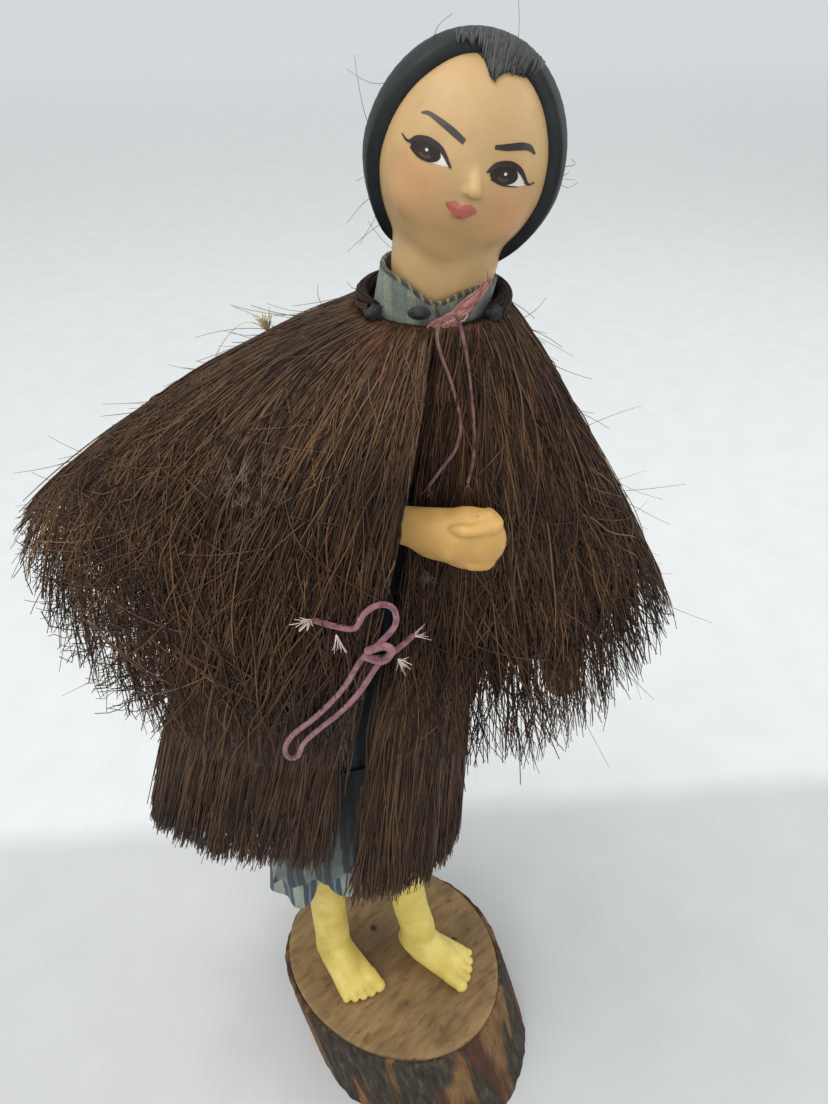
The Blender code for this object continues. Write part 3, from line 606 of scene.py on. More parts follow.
def tube_parts(path, radii, sides=16, flat=1.0):
    """Points and faces of a capped tube with rounded ends."""
    path = [vec(*p) for p in path]
    radii = list(radii)
    first, last = unit(path[0] - path[1]), unit(path[-1] - path[-2])
    route = [path[0] + first * radii[0] * s for s in (0.95, 0.7)] + path
    route += [path[-1] + last * radii[-1] * s for s in (0.7, 0.95)]
    sizes = [radii[0] * 0.3, radii[0] * 0.72, *radii, radii[-1] * 0.72, radii[-1] * 0.3]
    grid = ring_grid(route, sizes, sides, flat)
    rows = len(grid)
    faces = []
    for i in range(rows - 1):
        for j in range(sides):
            k = (j + 1) % sides
            faces.append((i * sides + j, i * sides + k, (i + 1) * sides + k, (i + 1) * sides + j))
    faces.append(tuple(range(sides))[::-1])
    faces.append(tuple((rows - 1) * sides + j for j in range(sides)))
    return grid.reshape(-1, 3), faces


def ball_parts(centre, radii, axes=None, rows=16, sides=24):
    """Points and faces of an ellipsoid. axes are three unit vectors."""
    axes = np.eye(3) if axes is None else np.array(axes)
    points = []
    for i in range(rows):
        tall = -math.cos(math.pi * (i + 0.5) / rows)
        fat = math.sin(math.pi * (i + 0.5) / rows)
        for j in range(sides):
            turn = math.tau * j / sides
            local = vec(fat * math.cos(turn) * radii[0], fat * math.sin(turn) * radii[1], tall * radii[2])
            points.append(centre + local @ axes)
    faces = []
    for i in range(rows - 1):
        for j in range(sides):
            k = (j + 1) % sides
            faces.append((i * sides + j, i * sides + k, (i + 1) * sides + k, (i + 1) * sides + j))
    faces.append(tuple(range(sides))[::-1])
    faces.append(tuple((rows - 1) * sides + j for j in range(sides)))
    return np.array(points), faces


def blob_mesh(name, parts, voxel, rounds, factor=0.5):
    """One smooth closed mesh from overlapping closed parts."""
    points, faces, count = [], [], 0
    for spots, loops in parts:
        points.append(spots)
        faces += [tuple(count + i for i in loop) for loop in loops]
        count += len(spots)
    mesh = mesh_from(name + "_rough", np.concatenate(points), faces)
    outward(mesh)
    rough = bpy.data.objects.new(name + "_rough", mesh)
    bpy.context.scene.collection.objects.link(rough)
    remesh = rough.modifiers.new("remesh", "REMESH")
    remesh.mode = "VOXEL"
    remesh.voxel_size = voxel * MM
    remesh.use_smooth_shade = True
    soften = rough.modifiers.new("soften", "SMOOTH")
    soften.factor = factor
    soften.iterations = rounds
    bpy.context.view_layer.update()
    found = bpy.data.meshes.new_from_object(rough.evaluated_get(bpy.context.evaluated_depsgraph_get()))
    bpy.data.objects.remove(rough, do_unlink=True)
    found.name = name
    found.materials.clear()
    return found


# ---------------------------------------------------------------- cords
WAIST_CORD_RADIUS, NECK_CORD_RADIUS = 0.45, 0.27
WAIST_CORD = (
    (-33.3, -25.1, 198.7),
    (-31.2, -27.3, 197.7),
    (-29.1, -29.4, 197.4),
    (-28.1, -30.3, 200.1),
    (-26.4, -31.8, 201.8),
    (-24.7, -32.7, 200.6),
    (-24.5, -32.8, 197.6),
    (-26.2, -31.9, 195.0),
    (-28.7, -30.1, 191.6),
    (-30.2, -28.2, 186.3),
    (-31.7, -26.0, 181.6),
    (-33.8, -23.1, 176.5),
    (-35.7, -20.1, 172.0),
    (-36.5, -18.1, 167.6),
    (-36.2, -17.8, 164.5),
    (-34.9, -18.9, 164.5),
    (-34.5, -20.6, 169.0),
    (-32.9, -23.3, 173.7),
    (-30.8, -26.5, 178.7),
    (-28.8, -29.4, 184.4),
    (-26.8, -31.3, 190.0),
    (-24.6, -32.1, 191.6),
    (-21.2, -31.0, 190.6),
    (-18.5, -29.8, 189.6),
)
NECK_CORD = (
    (-10.7, -24.7, 211.1),
    (-8.6, -25.3, 213.7),
    (-6.8, -26.0, 216.2),
    (-5.8, -25.9, 219.7),
    (-5.8, -25.0, 223.0),
    (-6.2, -23.9, 226.4),
    (-7.0, -22.9, 229.6),
    (-7.5, -22.5, 232.6),
    (-6.6, -22.8, 234.9),
    (-5.0, -23.4, 235.1),
    (-4.2, -23.8, 232.8),
    (-3.7, -24.4, 229.6),
    (-3.6, -25.1, 226.1),
    (-3.8, -26.1, 222.5),
    (-4.2, -27.1, 218.6),
    (-5.0, -27.9, 214.4),
    (-6.2, -28.2, 211.4),
)


def frayed(name, spot, way, count=14, reach=3.2, look=FRAY, radius=0.10):
    """A little brush of threads where a cord's end has come apart."""
    way = unit(vec(*way))
    lean = unit(rng.normal(size=(count, 3))) * 0.45 + way
    steps = np.linspace(0, 1, 5)
    long = rng.uniform(0.5, 1.0, (count, 1, 1)) * reach
    curl = unit(rng.normal(size=(count, 3))) * 0.5
    lines = spot + unit(lean)[:, None, :] * steps[None, :, None] * long
    lines = lines + curl[:, None, :] * (steps**2)[None, :, None] * long * 0.6
    radii = np.full((count, 5), radius) * np.linspace(1, 0.5, 5)
    return strands(name, lines, radii, rng.uniform(0, 1, count), look, slot="pink_cord")


def tie_cord(node, route, radius, look):
    line = smooth_line(route, 4)
    curve = bpy.data.curves.new(node + "_look", "CURVE")
    curve.dimensions = "3D"
    curve.bevel_depth = radius * MM
    curve.bevel_resolution = 3
    curve.use_fill_caps = True
    spline = curve.splines.new("POLY")
    spline.points.add(len(line) - 1)
    for point, spot in zip(spline.points, line):
        point.co = (*(spot * MM), 1)
    made = bpy.data.objects.new(node + "_look", curve)
    bpy.context.scene.collection.objects.link(made)
    curve.materials.append(look.made)
    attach(made, FIGURE)
    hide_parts(node)
    return made


def make_cords():
    tufts = [
        frayed("waist_cord_end_a", vec(*WAIST_CORD[0]), (-0.8, -0.2, 0.35), 16, 3.4),
        frayed("waist_cord_end_b", vec(*WAIST_CORD[-1]), (0.8, 0.2, -0.4), 16, 3.2),
        frayed("waist_cord_fluff_a", vec(-31.4, -28.0, 196.6), (-0.2, -0.5, -0.9), 18, 2.6),
        frayed("waist_cord_fluff_b", vec(-27.4, -31.6, 192.6), (0.5, -0.3, -0.7), 14, 2.4, PINK),
        frayed("waist_cord_fluff_c", vec(-24.0, -32.7, 190.4), (0.4, -0.2, -0.8), 16, 2.8),
    ]
    knot_path = smooth_line(
        [
            (-28.2, -31.0, 193.6),
            (-26.6, -32.6, 194.6),
            (-25.4, -32.9, 193.0),
            (-26.6, -32.2, 191.4),
            (-28.4, -30.9, 192.4),
        ], 4
    )
    points, faces = tube_parts(knot_path, [0.62] * len(knot_path), 10)
    mesh = mesh_from("waist_cord_knot", points, faces)
    outward(mesh)
    knot = add_object("waist_cord_knot", mesh, PINK, slot="pink_cord")
    tie_cord("waist_tie_cord", WAIST_CORD, WAIST_CORD_RADIUS, PINK)
    ends = [
        frayed("neck_cord_end_a", vec(*NECK_CORD[0]), (-0.6, -0.2, -0.8), 8, 2.4, PALE_PINK, 0.07),
        frayed("neck_cord_end_b", vec(*NECK_CORD[-1]), (-0.2, -0.2, -1.0), 8, 3.0, PALE_PINK, 0.07),
    ]
    tie_cord("neck_tie_cord", NECK_CORD, NECK_CORD_RADIUS, PALE_PINK)


make_cords()


# ---------------------------------------------------------------- cape
NET_MIDDLE, NET_WIDE = 291.0, 30.0


def mantle_strands(name, count, lift, reach, spread_deg, tone_shift, lean=0.0, longest=1.0, thick=0.19):
    low, high = MANTLE_SLIT
    table = np.array(MANTLE_HEM, float)
    angles = np.linspace(high, 360 + low, 720)
    turned = np.where(angles > 180, angles - 360, angles)
    weight = np.interp(turned, table[:, 0], table[:, 1])
    weight /= weight.sum()
    start = rng.choice(angles, count, p=weight) + rng.uniform(-0.4, 0.4, count)
    steps = 14
    t = np.linspace(0, 1, steps)[None, :]
    begin = np.clip(rng.uniform(-0.55, 0.72, (count, 1)), 0.0, 1.0)
    end = np.clip(begin + rng.uniform(0.30, 1.0, (count, 1)) * longest, 0, 1.0)
    finish = end > 0.97
    end = np.where(finish, rng.normal(reach, 0.022, (count, 1)), end)
    # The tier is worn thin at one side, where only a net of crossing fibres is left.
    thin = np.exp(-(((start[:, None] - NET_MIDDLE) / NET_WIDE) ** 4)) > rng.uniform(0, 1.35, (count, 1))
    end = np.where(thin, np.minimum(end, rng.uniform(0.70, 0.90, (count, 1))), end)
    begin = np.minimum(begin, end - 0.15)
    share = begin + (end - begin) * t
    drift = rng.normal(lean, spread_deg, (count, 1))
    wave = rng.normal(0, 0.6, (count, 1)) * np.sin(
        t * rng.uniform(3, 9, (count, 1)) + rng.uniform(0, 6, (count, 1))
    )
    curl = rng.normal(0, 0.45, (count, 1)) * np.sin(
        t * rng.uniform(9, 22, (count, 1)) + rng.uniform(0, 6, (count, 1))
    )
    degrees = start[:, None] + drift * (t - 0.5) + wave + curl * share
    degrees = np.clip(degrees, high - 1.5, 360 + low + 1.5)
    raised = lift + np.abs(rng.normal(0, 0.45, (count, 1))) * np.sin(
        t * math.pi * rng.uniform(0.6, 2.2, (count, 1))
    )
    raised = raised + rng.normal(0, 0.22, (count, 1))
    lines = mantle(degrees, share, raised)
    radii = rng.uniform(0.09, thick, (count, 1)) * (1.0 - 0.45 * t**3)
    tones = np.clip(rng.beta(2.0, 3.0, count) + tone_shift, 0, 1)
    return strands(name, lines, radii, tones, PALM, slot="palm_fibre")


def skirt_strands(name, count, lift, spread_deg):
    low, high = SKIRT_SLIT
    start = rng.uniform(high, 360 + low, count)
    steps = 10
    t = np.linspace(0, 1, steps)[None, :]
    begin = np.clip(rng.uniform(-0.2, 0.7, (count, 1)), 0.12, 1.0)
    end = np.where(
        rng.uniform(size=(count, 1)) < 0.72,
        rng.normal(1.0, 0.03, (count, 1)),
        rng.uniform(0.75, 1.0, (count, 1)),
    )
    share = begin + (end - begin) * t
    drift = rng.normal(0, spread_deg, (count, 1))
    wave = rng.normal(0, 0.7, (count, 1)) * np.sin(
        t * rng.uniform(3, 9, (count, 1)) + rng.uniform(0, 6, (count, 1))
    )
    degrees = np.clip(start[:, None] + drift * (t - 0.5) + wave, high - 2.0, 360 + low + 2.0)
    clump = 0.9 * np.sin(np.radians(degrees) * 23.0) + 0.5 * np.sin(np.radians(degrees) * 41.0 + 1.0)
    raised = lift + clump * 0.45 * share + rng.normal(0, 0.3, (count, 1))
    raised = raised + np.abs(rng.normal(0, 0.5, (count, 1))) * t**2
    lines = skirt(degrees, share, raised)
    radii = rng.uniform(0.12, 0.22, (count, 1)) * (1.0 - 0.4 * t**3)
    tones = np.clip(rng.beta(1.8, 3.2, count), 0, 1)
    return strands(name, lines, radii, tones, PALM, slot="palm_fibre")


def backing(name, surface, slit, first, last, columns, rows, lift, thick, node):
    """The matted inner layer of a tier, with a ragged lower edge."""
    low, high = slit
    degrees = np.linspace(high + 0.4, 360 + low - 0.4, columns)
    ragged = last + 0.030 * np.sin(degrees * 0.9) + rng.normal(0, 0.012, columns)
    if node == "cape_mantle":
        ragged -= 0.10 * np.exp(-(((degrees - NET_MIDDLE) / NET_WIDE) ** 4))
    share = first + (ragged[None, :] - first) * np.linspace(0, 1, rows)[:, None]
    grid = np.broadcast_to(degrees[None, :], share.shape)
    rough = rng.normal(0, 0.08, share.shape)
    outer = surface(grid, share, lift + rough)
    inner = surface(grid, share, lift - thick + rough)
    return shell(name, outer, inner, BACKING, wrap=False, nodes=(node,), slot="palm_fibre")


def free_hairs(name, count):
    """Long stray fibres that stand away from the cape."""
    start = rng.uniform(MANTLE_SLIT[1], 360 + MANTLE_SLIT[0], count)
    begin = rng.uniform(0.0, 0.95, count)
    root = mantle(start, begin, 0.4)
    tip = mantle(start + rng.normal(0, 4, count), np.minimum(begin + 0.12, 1.05), 1.5)
    way = unit(tip - root) + rng.normal(0, 0.30, (count, 3)) + vec(0, 0, 0.05)
    out = unit(mantle(start, begin, 2.0) - mantle(start, begin, 0.0))
    t = np.linspace(0, 1, 9)[None, :, None]
    long = rng.uniform(4, 13, (count, 1, 1))
    lines = root[:, None, :] + unit(way)[:, None, :] * t * long + out[:, None, :] * t * rng.uniform(
        0, 2.2, (count, 1, 1)
    )
    lines = lines + unit(rng.normal(size=(count, 3)))[:, None, :] * t**2 * long * 0.35
    low_box = vec(*CAD_BOX[0]) / MM - 8.0
    high_box = vec(*CAD_BOX[1]) / MM + 8.0
    lines = np.clip(lines, low_box, high_box)
    radii = rng.uniform(0.045, 0.08, (count, 1)) * np.linspace(1, 0.5, 9)[None, :]
    return strands(name, lines, radii, rng.beta(2, 4, count), PALM, slot="palm_fibre")


def cross_threads(name, count):
    """Fibres that run across the grain on the mantle."""
    middle = rng.uniform(20, 350, count)
    near_left = rng.uniform(size=count) < 0.5
    middle = np.where(near_left, rng.uniform(265, 330, count), middle)
    share = rng.uniform(0.25, 0.9, count)
    t = np.linspace(-0.5, 0.5, 11)[None, :]
    wide = rng.uniform(8, 26, (count, 1))
    slope = rng.normal(0, 0.16, (count, 1))
    degrees = middle[:, None] + wide * t
    degrees = np.clip(degrees, MANTLE_SLIT[1], 360)
    rows = np.clip(share[:, None] + slope * t, 0.05, 1.0)
    lines = mantle(degrees, rows, 0.75 + rng.uniform(0, 0.25, (count, 1)) + 0 * t)
    radii = rng.uniform(0.09, 0.15, (count, 1)) + 0 * t
    return strands(name, lines, radii, rng.uniform(0.2, 0.7, count), PALM, slot="palm_fibre")


def net_threads(name, count):
    """Fibres that cross each other both ways in the worn part and along the hem."""
    worn = rng.uniform(size=count) < 0.5
    middle = np.where(
        worn, rng.uniform(NET_MIDDLE - NET_WIDE, NET_MIDDLE + NET_WIDE, count), rng.uniform(10, 358, count)
    )
    share = np.where(worn, rng.uniform(0.68, 0.95, count), rng.uniform(0.55, 0.93, count))
    t = np.linspace(-0.5, 0.5, 11)[None, :]
    side = np.where(rng.uniform(size=count) < 0.5, 1.0, -1.0)[:, None]
    turn = side * rng.uniform(5, 12, (count, 1))
    long = rng.uniform(0.08, 0.19, (count, 1))
    curl = rng.normal(0, 0.5, (count, 1)) * np.sin(
        t * rng.uniform(8, 20, (count, 1)) + rng.uniform(0, 6, (count, 1))
    )
    degrees = np.clip(middle[:, None] + turn * t + curl, MANTLE_SLIT[1] - 1.5, 361.5)
    rows = share[:, None] + long * t
    lines = mantle(degrees, rows, rng.uniform(-0.2, 0.8, (count, 1)) + 0 * t)
    radii = rng.uniform(0.07, 0.11, (count, 1)) * (1.0 - 0.8 * t**2)
    return strands(name, lines, radii, rng.beta(1.8, 3.6, count), PALM, slot="palm_fibre")


def gap_fibres(name, count):
    """Fibres from both front edges that close the slit above the hand."""
    low, high = MANTLE_SLIT
    t = np.linspace(0, 1, 14)[None, :]
    from_right = rng.uniform(size=(count, 1)) < 0.5
    start = np.where(
        from_right, rng.uniform(-4, low + 2.5, (count, 1)), rng.uniform(high - 3.5, high + 3, (count, 1))
    )
    begin = rng.uniform(0.0, 0.26, (count, 1))
    share = begin + rng.uniform(0.08, 0.20, (count, 1)) * t
    drift = np.where(from_right, rng.uniform(-0.5, 3.5, (count, 1)), rng.uniform(-3.5, 0.5, (count, 1)))
    degrees = start + drift * t
    lines = mantle(degrees, share, -0.1 + rng.normal(0, 0.25, (count, 1)) + 0 * t)
    radii = rng.uniform(0.10, 0.17, (count, 1)) * (1.0 - 0.4 * t**3)
    return strands(name, lines, radii, np.clip(rng.beta(1.6, 4.0, count), 0, 1), PALM, slot="palm_fibre")


backing("mantle_backing", mantle, MANTLE_SLIT, 0.0, 0.84, 240, 24, -0.55, 0.5, "cape_mantle")
backing("skirt_backing", skirt, SKIRT_SLIT, 0.0, 0.90, 200, 16, -0.55, 0.5, "cape_skirt")
# Each layer: name, fibres, lift, reach, spread in degrees, tone, lean, longest share, thickest radius.
MANTLE_LAYERS = (
    ("mantle_fibres_inner", 2300, -0.15, 0.99, 5.0, -0.14),
    ("mantle_fibres_middle", 2300, 0.10, 1.0, 6.0, -0.06, 3.0, 0.8),
    ("mantle_fibres_outer", 2300, 0.35, 1.01, 8.0, 0.02, -3.0, 0.7, 0.17),
    ("mantle_fibres_short", 2300, 0.45, 1.0, 10.0, 0.0, 4.0, 0.5, 0.15),
    ("mantle_fibres_loose", 900, 0.55, 1.03, 16.0, -0.05, 0.0, 0.5, 0.14),
)
NET_FIBRES, GAP_FIBRES, SKIRT_FIBRES, STRAY_FIBRES, CROSS_FIBRES = 2800, 420, 2900, 460, 260
for layer in MANTLE_LAYERS:
    mantle_strands(*layer)
net_threads("net_fibres", NET_FIBRES)
gap_fibres("front_gap_fibres", GAP_FIBRES)
skirt_strands("skirt_fibres_inner", SKIRT_FIBRES, -0.2, 3.0)
skirt_strands("skirt_fibres_outer", SKIRT_FIBRES, 0.25, 5.0)
free_hairs("stray_fibres", STRAY_FIBRES)
cross_threads("cross_fibres", CROSS_FIBRES)


def rope_strands(name, path, radius, count, turns, node, look=DARK_FIBRE, slot="fibre_binding", thin=0.16):
    """A roll of fibres that follow a path, twisted lightly."""
    steps = len(path)
    path = np.asarray(path)
    ahead = unit(np.gradient(path, axis=0))
    across = unit(np.cross(ahead, UP))
    over = np.cross(across, ahead)
    t = np.linspace(0, 1, steps)[None, :]
    away = radius[None, :] * np.sqrt(rng.uniform(0.25, 1, (count, 1)))
    turn = rng.uniform(0, math.tau, (count, 1)) + turns * math.tau * t
    lines = path[None] + across[None] * (away * np.cos(turn))[..., None]
    lines = lines + over[None] * (away * np.sin(turn))[..., None]
    radii = rng.uniform(thin * 0.7, thin * 1.3, (count, 1)) + 0 * t
    return strands(
        name, lines, radii, rng.uniform(0, 1, count), look, nodes=(node,) if node else (), slot=slot
    )


neck_angles = np.linspace(52.0, 308.0, 40)
neck_ends = np.maximum(0, 1 - np.minimum(np.arange(40), np.arange(40)[::-1]) / 4.0)
neck_path = around(np.full(40, 233.9), neck_angles, 10.4 + 0.4 * neck_ends)
rope_strands("neck_binding_fibres", neck_path, 0.95 + 0.3 * neck_ends, 110, 1.2, "mantle_neck_binding")
for end, at in (("left", 0), ("right", -1)):
    lump, loops = ball_parts(neck_path[at] - UP * 0.3, (1.3, 0.9, 0.8))
    lump = lump + rng.normal(0, 0.28, lump.shape)
    mesh = blob_mesh(f"neck_binding_{end}_knot", [(lump, loops)], 0.25, 1)
    add_object(f"neck_binding_{end}_knot", mesh, BLACK, slot="fibre_binding")
waist_angles = np.linspace(19.0, 371.0, 60)
waist_turn = np.radians(waist_angles)
waist_path = axis_at(np.full(60, 187.9)) + SIDE * (-4.5 + 24.6 * np.sin(waist_turn))[:, None]
waist_path = waist_path + FRONT * (3.5 + 21.1 * np.cos(waist_turn))[:, None]
rope_strands("waist_binding_fibres", waist_path, np.full(60, 1.25), 90, 3.0, "skirt_waist_binding")

# Straw tuft on the doll's right shoulder, with one loose thread.
tuft_root = mantle(vec(258.0), vec(0.27), 0.7)[0]
frayed("shoulder_straw_tuft", tuft_root, (-0.2, 0.1, 0.9), 34, 3.8, STRAW, 0.12)
thread = [tuft_root + vec(0, 0, 0.6), tuft_root + vec(-2.6, 2.4, 1.6), tuft_root + vec(-5.4, 4.6, -1.2)]
thread = smooth_line([*thread, tuft_root + vec(-7.5, 6.4, -5.6)], 4)
strands(
    "shoulder_loose_thread", thread[None], np.full((1, len(thread)), 0.09), [0.9], STRAW, slot="palm_fibre"
)
lint = mantle(vec(13.5), vec(0.60), 0.9)[0]
frayed("front_lint", lint, (-0.2, -0.6, -0.5), 60, 2.6, LINT, 0.05)


# ---------------------------------------------------------------- clothes
def cloth_tube(name, path, radii, look, node, folds=7, depth=0.10, body=FIGURE, thick=0.4, hem_flare=0.0,
               slot="striped_cloth", flat=1.0, notch=None):
    rows = len(path)
    phase = rng.uniform(0, math.tau, 3)

    def shape(share, turn):
        soft = depth * (0.45 + 0.55 * (1 - share))
        wave = np.sin(folds * turn + phase[0] + 1.2 * share)
        wave = wave + 0.5 * np.sin((folds * 2 - 3) * turn + phase[1] - 2.0 * share)
        wave = wave + 0.35 * np.sin(3 * turn + phase[2] + 9.0 * share)
        return 1.0 + soft * wave * 0.6 + hem_flare * max(0.0, 0.12 - share)

    outer = ring_grid(path, radii, 96, flat, shape)
    inner = ring_grid(path, np.asarray(radii) - thick, 96, flat, shape)
    if notch is not None:
        # The hem is tucked up where a fold runs down to it.
        for grid in (outer, inner):
            off = grid - path[:, None, :]
            toward = np.degrees(np.arctan2(off[..., 1], off[..., 0])) - notch
            toward = (toward + 180) % 360 - 180
            low = np.clip(1 - np.arange(rows) / (rows * 0.3), 0, 1)[:, None]
            tuck = np.exp(-((toward / 13.0) ** 2))
            grid += UP * (8.0 * low**1.5 * tuck)[..., None]
            grid -= off * (0.30 * low**0.5 * np.exp(-((toward / 20.0) ** 2)))[..., None]
    made = shell(name, outer, inner, look, body=body, nodes=(node,), slot=slot)
    return made


RIGHT_HEM, LEFT_HEM = vec(-13.5, 15.5, 66.0), vec(4.6, 1.8, 72.0)
RIGHT_HIP, LEFT_HIP = vec(-11.0, 18.5, 121.0), vec(3.0, 11.0, 121.0)
for side, hem, hip, hem_radius in (("right", RIGHT_HEM, RIGHT_HIP, 12.2), ("left", LEFT_HEM, LEFT_HIP, 9.8)):
    top = hip - UP
    route = smooth_line([hem, (hem + top) / 2 + vec(0, 1, 0), top], 16)
    wide = spread((hem_radius, hem_radius * 0.86, 7.3), len(route))
    notch = 243.0 if side == "right" else None
    cloth_tube(f"{side}_trouser_cloth", route, wide, CLOTH, f"{side}_trouser_leg", 6, 0.14, notch=notch)

TUNIC_HEIGHTS = (116.0, 128.0, 150.0, 176.0, 202.0, 216.0, 224.0, 227.6, 229.6)
TUNIC_WIDE = (21.5, 19.5, 16.5, 15.0, 16.0, 16.0, 12.5, 8.6, 7.9)
TUNIC_DEEP = (16.5, 15.5, 13.5, 12.0, 12.5, 11.5, 9.5, 8.2, 7.9)


def make_tunic():
    rows, sides = 70, 120
    level = np.concatenate([np.linspace(116, 216, 56, endpoint=False), np.linspace(216, 229.6, 14)])
    wide = np.interp(level, TUNIC_HEIGHTS, TUNIC_WIDE)
    deep = np.interp(level, TUNIC_HEIGHTS, TUNIC_DEEP)
    turn = math.tau * np.arange(sides) / sides
    soft = np.interp(level, (116, 170, 205, 222), (0.075, 0.05, 0.03, 0.0))[:, None]
    fold = np.sin(9 * turn[None, :] + level[:, None] * 0.02) + 0.6 * np.sin(17 * turn[None, :] + 1.3)
    scale = 1 + soft * fold * 0.7
    centre = axis_at(level)[:, None, :]

    def grid(inset):
        x = ((wide - inset)[:, None] * np.cos(turn) * scale)[..., None]
        y = ((deep - inset)[:, None] * np.sin(turn) * scale)[..., None]
        return centre + SIDE * x + FRONT * y

    made = shell("tunic_cloth", grid(0.0), grid(0.4), DARK_CLOTH, nodes=("tunic_body",), slot="striped_cloth")


make_tunic()


def make_front_flap():
    """The tunic's long front, which hangs in folds inside the gap between the cape's lower flaps."""
    heights = (124.0, 112.5, 102.0, 92.0, 82.0)
    wide, deep = (21.0, 23.0, 25.5, 28.0, 30.0), (11.6, 13.6, 16.0, 18.3, 20.0)
    level = np.linspace(80.5, 123.0, 50)[:, None]
    degrees = np.linspace(-9, 40, 70)[None, :]
    turn = np.radians(degrees)
    share = np.clip((112.4 - level) / 32, 0, 1)
    folds = 0.9 * share * (
        np.sin(np.radians(degrees) * 22 + 0.6 * share) + 0.4 * np.sin(np.radians(degrees) * 41 + 2)
    )

    def sheet(inset):
        half_wide = np.interp(level, heights[::-1], wide[::-1]) - inset + folds
        half_deep = np.interp(level, heights[::-1], deep[::-1]) - inset + folds
        ahead = (6.5 + half_deep * np.cos(turn))[..., None]
        return axis_at(level + 0 * degrees) + SIDE * (
            half_wide * np.sin(turn) - 3.0
        )[..., None] + FRONT * ahead

    made = shell(
        "tunic_front_cloth",
        sheet(0.1),
        sheet(0.55),
        FLAP_CLOTH,
        wrap=False,
        nodes=("tunic_front_flap",),
        slot="striped_cloth",
    )


make_front_flap()


def make_collar():
    """The stand collar with a dip at the front, bound along its top edge and down the opening."""
    sides = 96
    turn = 360.0 * np.arange(sides) / sides
    near = np.abs((turn + 180) % 360 - 180)
    levels = np.array([229.9, 231.5, 233.4, 235.4, 237.2])
    share = (levels - levels[0]) / (levels[-1] - levels[0])
    dip = 2.2 * np.exp(-((near / 24.0) ** 2))[None, :] * share[:, None] ** 2
    dip = dip + 1.0 * np.sin(np.radians(turn - 6))[None, :] * share[:, None]
    radius = 8.55 - 0.15 * share[:, None] + 0.10 * np.sin(np.radians(turn) * 5)[None, :]
    lean = axis_at(230.0) + vec(0.12, -0.17, 0) * (levels - 230)[:, None]
    swing = np.radians(turn - 6)
    way = FRONT * np.cos(swing)[:, None] + SIDE * np.sin(swing)[:, None]
    spot = np.stack([lean[:, 0], lean[:, 1]], -1)[:, None, :]
    base = np.concatenate([np.broadcast_to(spot, (5, sides, 2)), (levels[:, None] - dip)[..., None]], -1)
    outer = base + way[None] * radius[..., None]
    inner = base + way[None] * (radius - 0.75)[..., None]
    made = shell("collar_cloth", outer, inner, COLLAR, nodes=("tunic_collar",), slot="collar_cloth")
    edge = (outer[-1] + inner[-1]) / 2
    closed = np.concatenate([edge, edge[:1]])
    piping = [
        strands(
            "collar_top_piping",
            closed[None],
            np.full((1, sides + 1), 0.42),
            [0.5],
            PIPING,
            8,
            slot="collar_cloth",
        ),
    ]
    low = outer[0] + way * 0.1 + UP * 0.4
    closed = np.concatenate([low, low[:1]])
    piping.append(
        strands(
            "collar_low_piping",
            closed[None],
            np.full((1, sides + 1), 0.36),
            [0.5],
            DARK_CLOTH,
            8,
            slot="collar_cloth",
        ),
    )
    # The bound edge of the opening slants down from the dip.
    start = outer[-1, 0]
    line = smooth_line([start, start + SIDE * 0.8 + FRONT * 0.5 - UP * 1.6, outer[0, 2] + FRONT * 0.4], 6)
    strands(
        "collar_opening_piping",
        line[None],
        np.full((1, len(line)), 0.40),
        [0.5],
        PIPING,
        8,
        slot="collar_cloth",
    )


make_collar()

knot_spot = axis_at(230.0) + FRONT * 9.6 + SIDE * -1.3 + vec(0, 0, 4.3)
knot_parts = [
    tube_parts(
        smooth_line(
            [knot_spot + SIDE * 1.3 * math.cos(a) + UP * 0.6 * math.sin(a) for a in np.linspace(0, 6.0, 9)], 2
        ),
        [0.38] * 17,
        8,
    ),
    ball_parts(knot_spot, (0.9, 0.9, 0.7)),
]
add_object(
    "collar_knot_cord",
    blob_mesh("collar_knot_cord", knot_parts, 0.14, 2),
    BLACK,
    nodes=("collar_knot",),
    slot="black_cord",
)

# Frayed pink threads from the collar's opening up to the doll's left side of the neck.
count = 70
t = np.linspace(0, 1, 12)[None, :]
tie_low = axis_at(231.5) + FRONT * 9.7 + SIDE * 0.6
tie_high = axis_at(237.0) + FRONT * 6.6 + SIDE * 6.4 + UP * 0.6
side_way = unit(np.cross(tie_high - tie_low, FRONT))
bow = 0.5 * np.sin(t * math.pi)
spread_out = rng.normal(0, 0.75, (count, 1)) * (1.0 - 0.72 * t)
lines = tie_low + (tie_high - tie_low) * (t * rng.uniform(0.7, 1.06, (count, 1)))[..., None]
curl = rng.normal(0, 0.3, (count, 1)) * np.sin(
    t * rng.uniform(6, 14, (count, 1)) + rng.uniform(0, 6, (count, 1))
)
lines = lines + side_way * (spread_out + bow * 0.3 + curl)[..., None]
lines = lines + FRONT * (bow + rng.uniform(0, 0.5, (count, 1)) + 0.4 * curl)[..., None]
strands(
    "neck_pink_threads",
    lines,
    rng.uniform(0.06, 0.13, (count, 1)) + 0 * t,
    rng.uniform(0, 1, count),
    RIBBON,
    4,
    slot="pink_cord",
)
low_tuft = lines[:, 0]
tails = low_tuft[:, None, :] - UP * (t * rng.uniform(1.5, 5.5, (count, 1)))[..., None]
tails = tails + SIDE * (rng.normal(0, 0.7, (count, 1)) * t)[..., None] + FRONT * (0.9 * t)[..., None]
strands(
    "neck_pink_tails",
    tails,
    rng.uniform(0.07, 0.12, (count, 1)) + 0 * t,
    rng.uniform(0, 0.8, count),
    RIBBON,
    4,
    slot="pink_cord",
)
frayed("neck_pink_fray", tie_high, (0.5, -0.3, 0.7), 9, 1.8, RIBBON, 0.07)


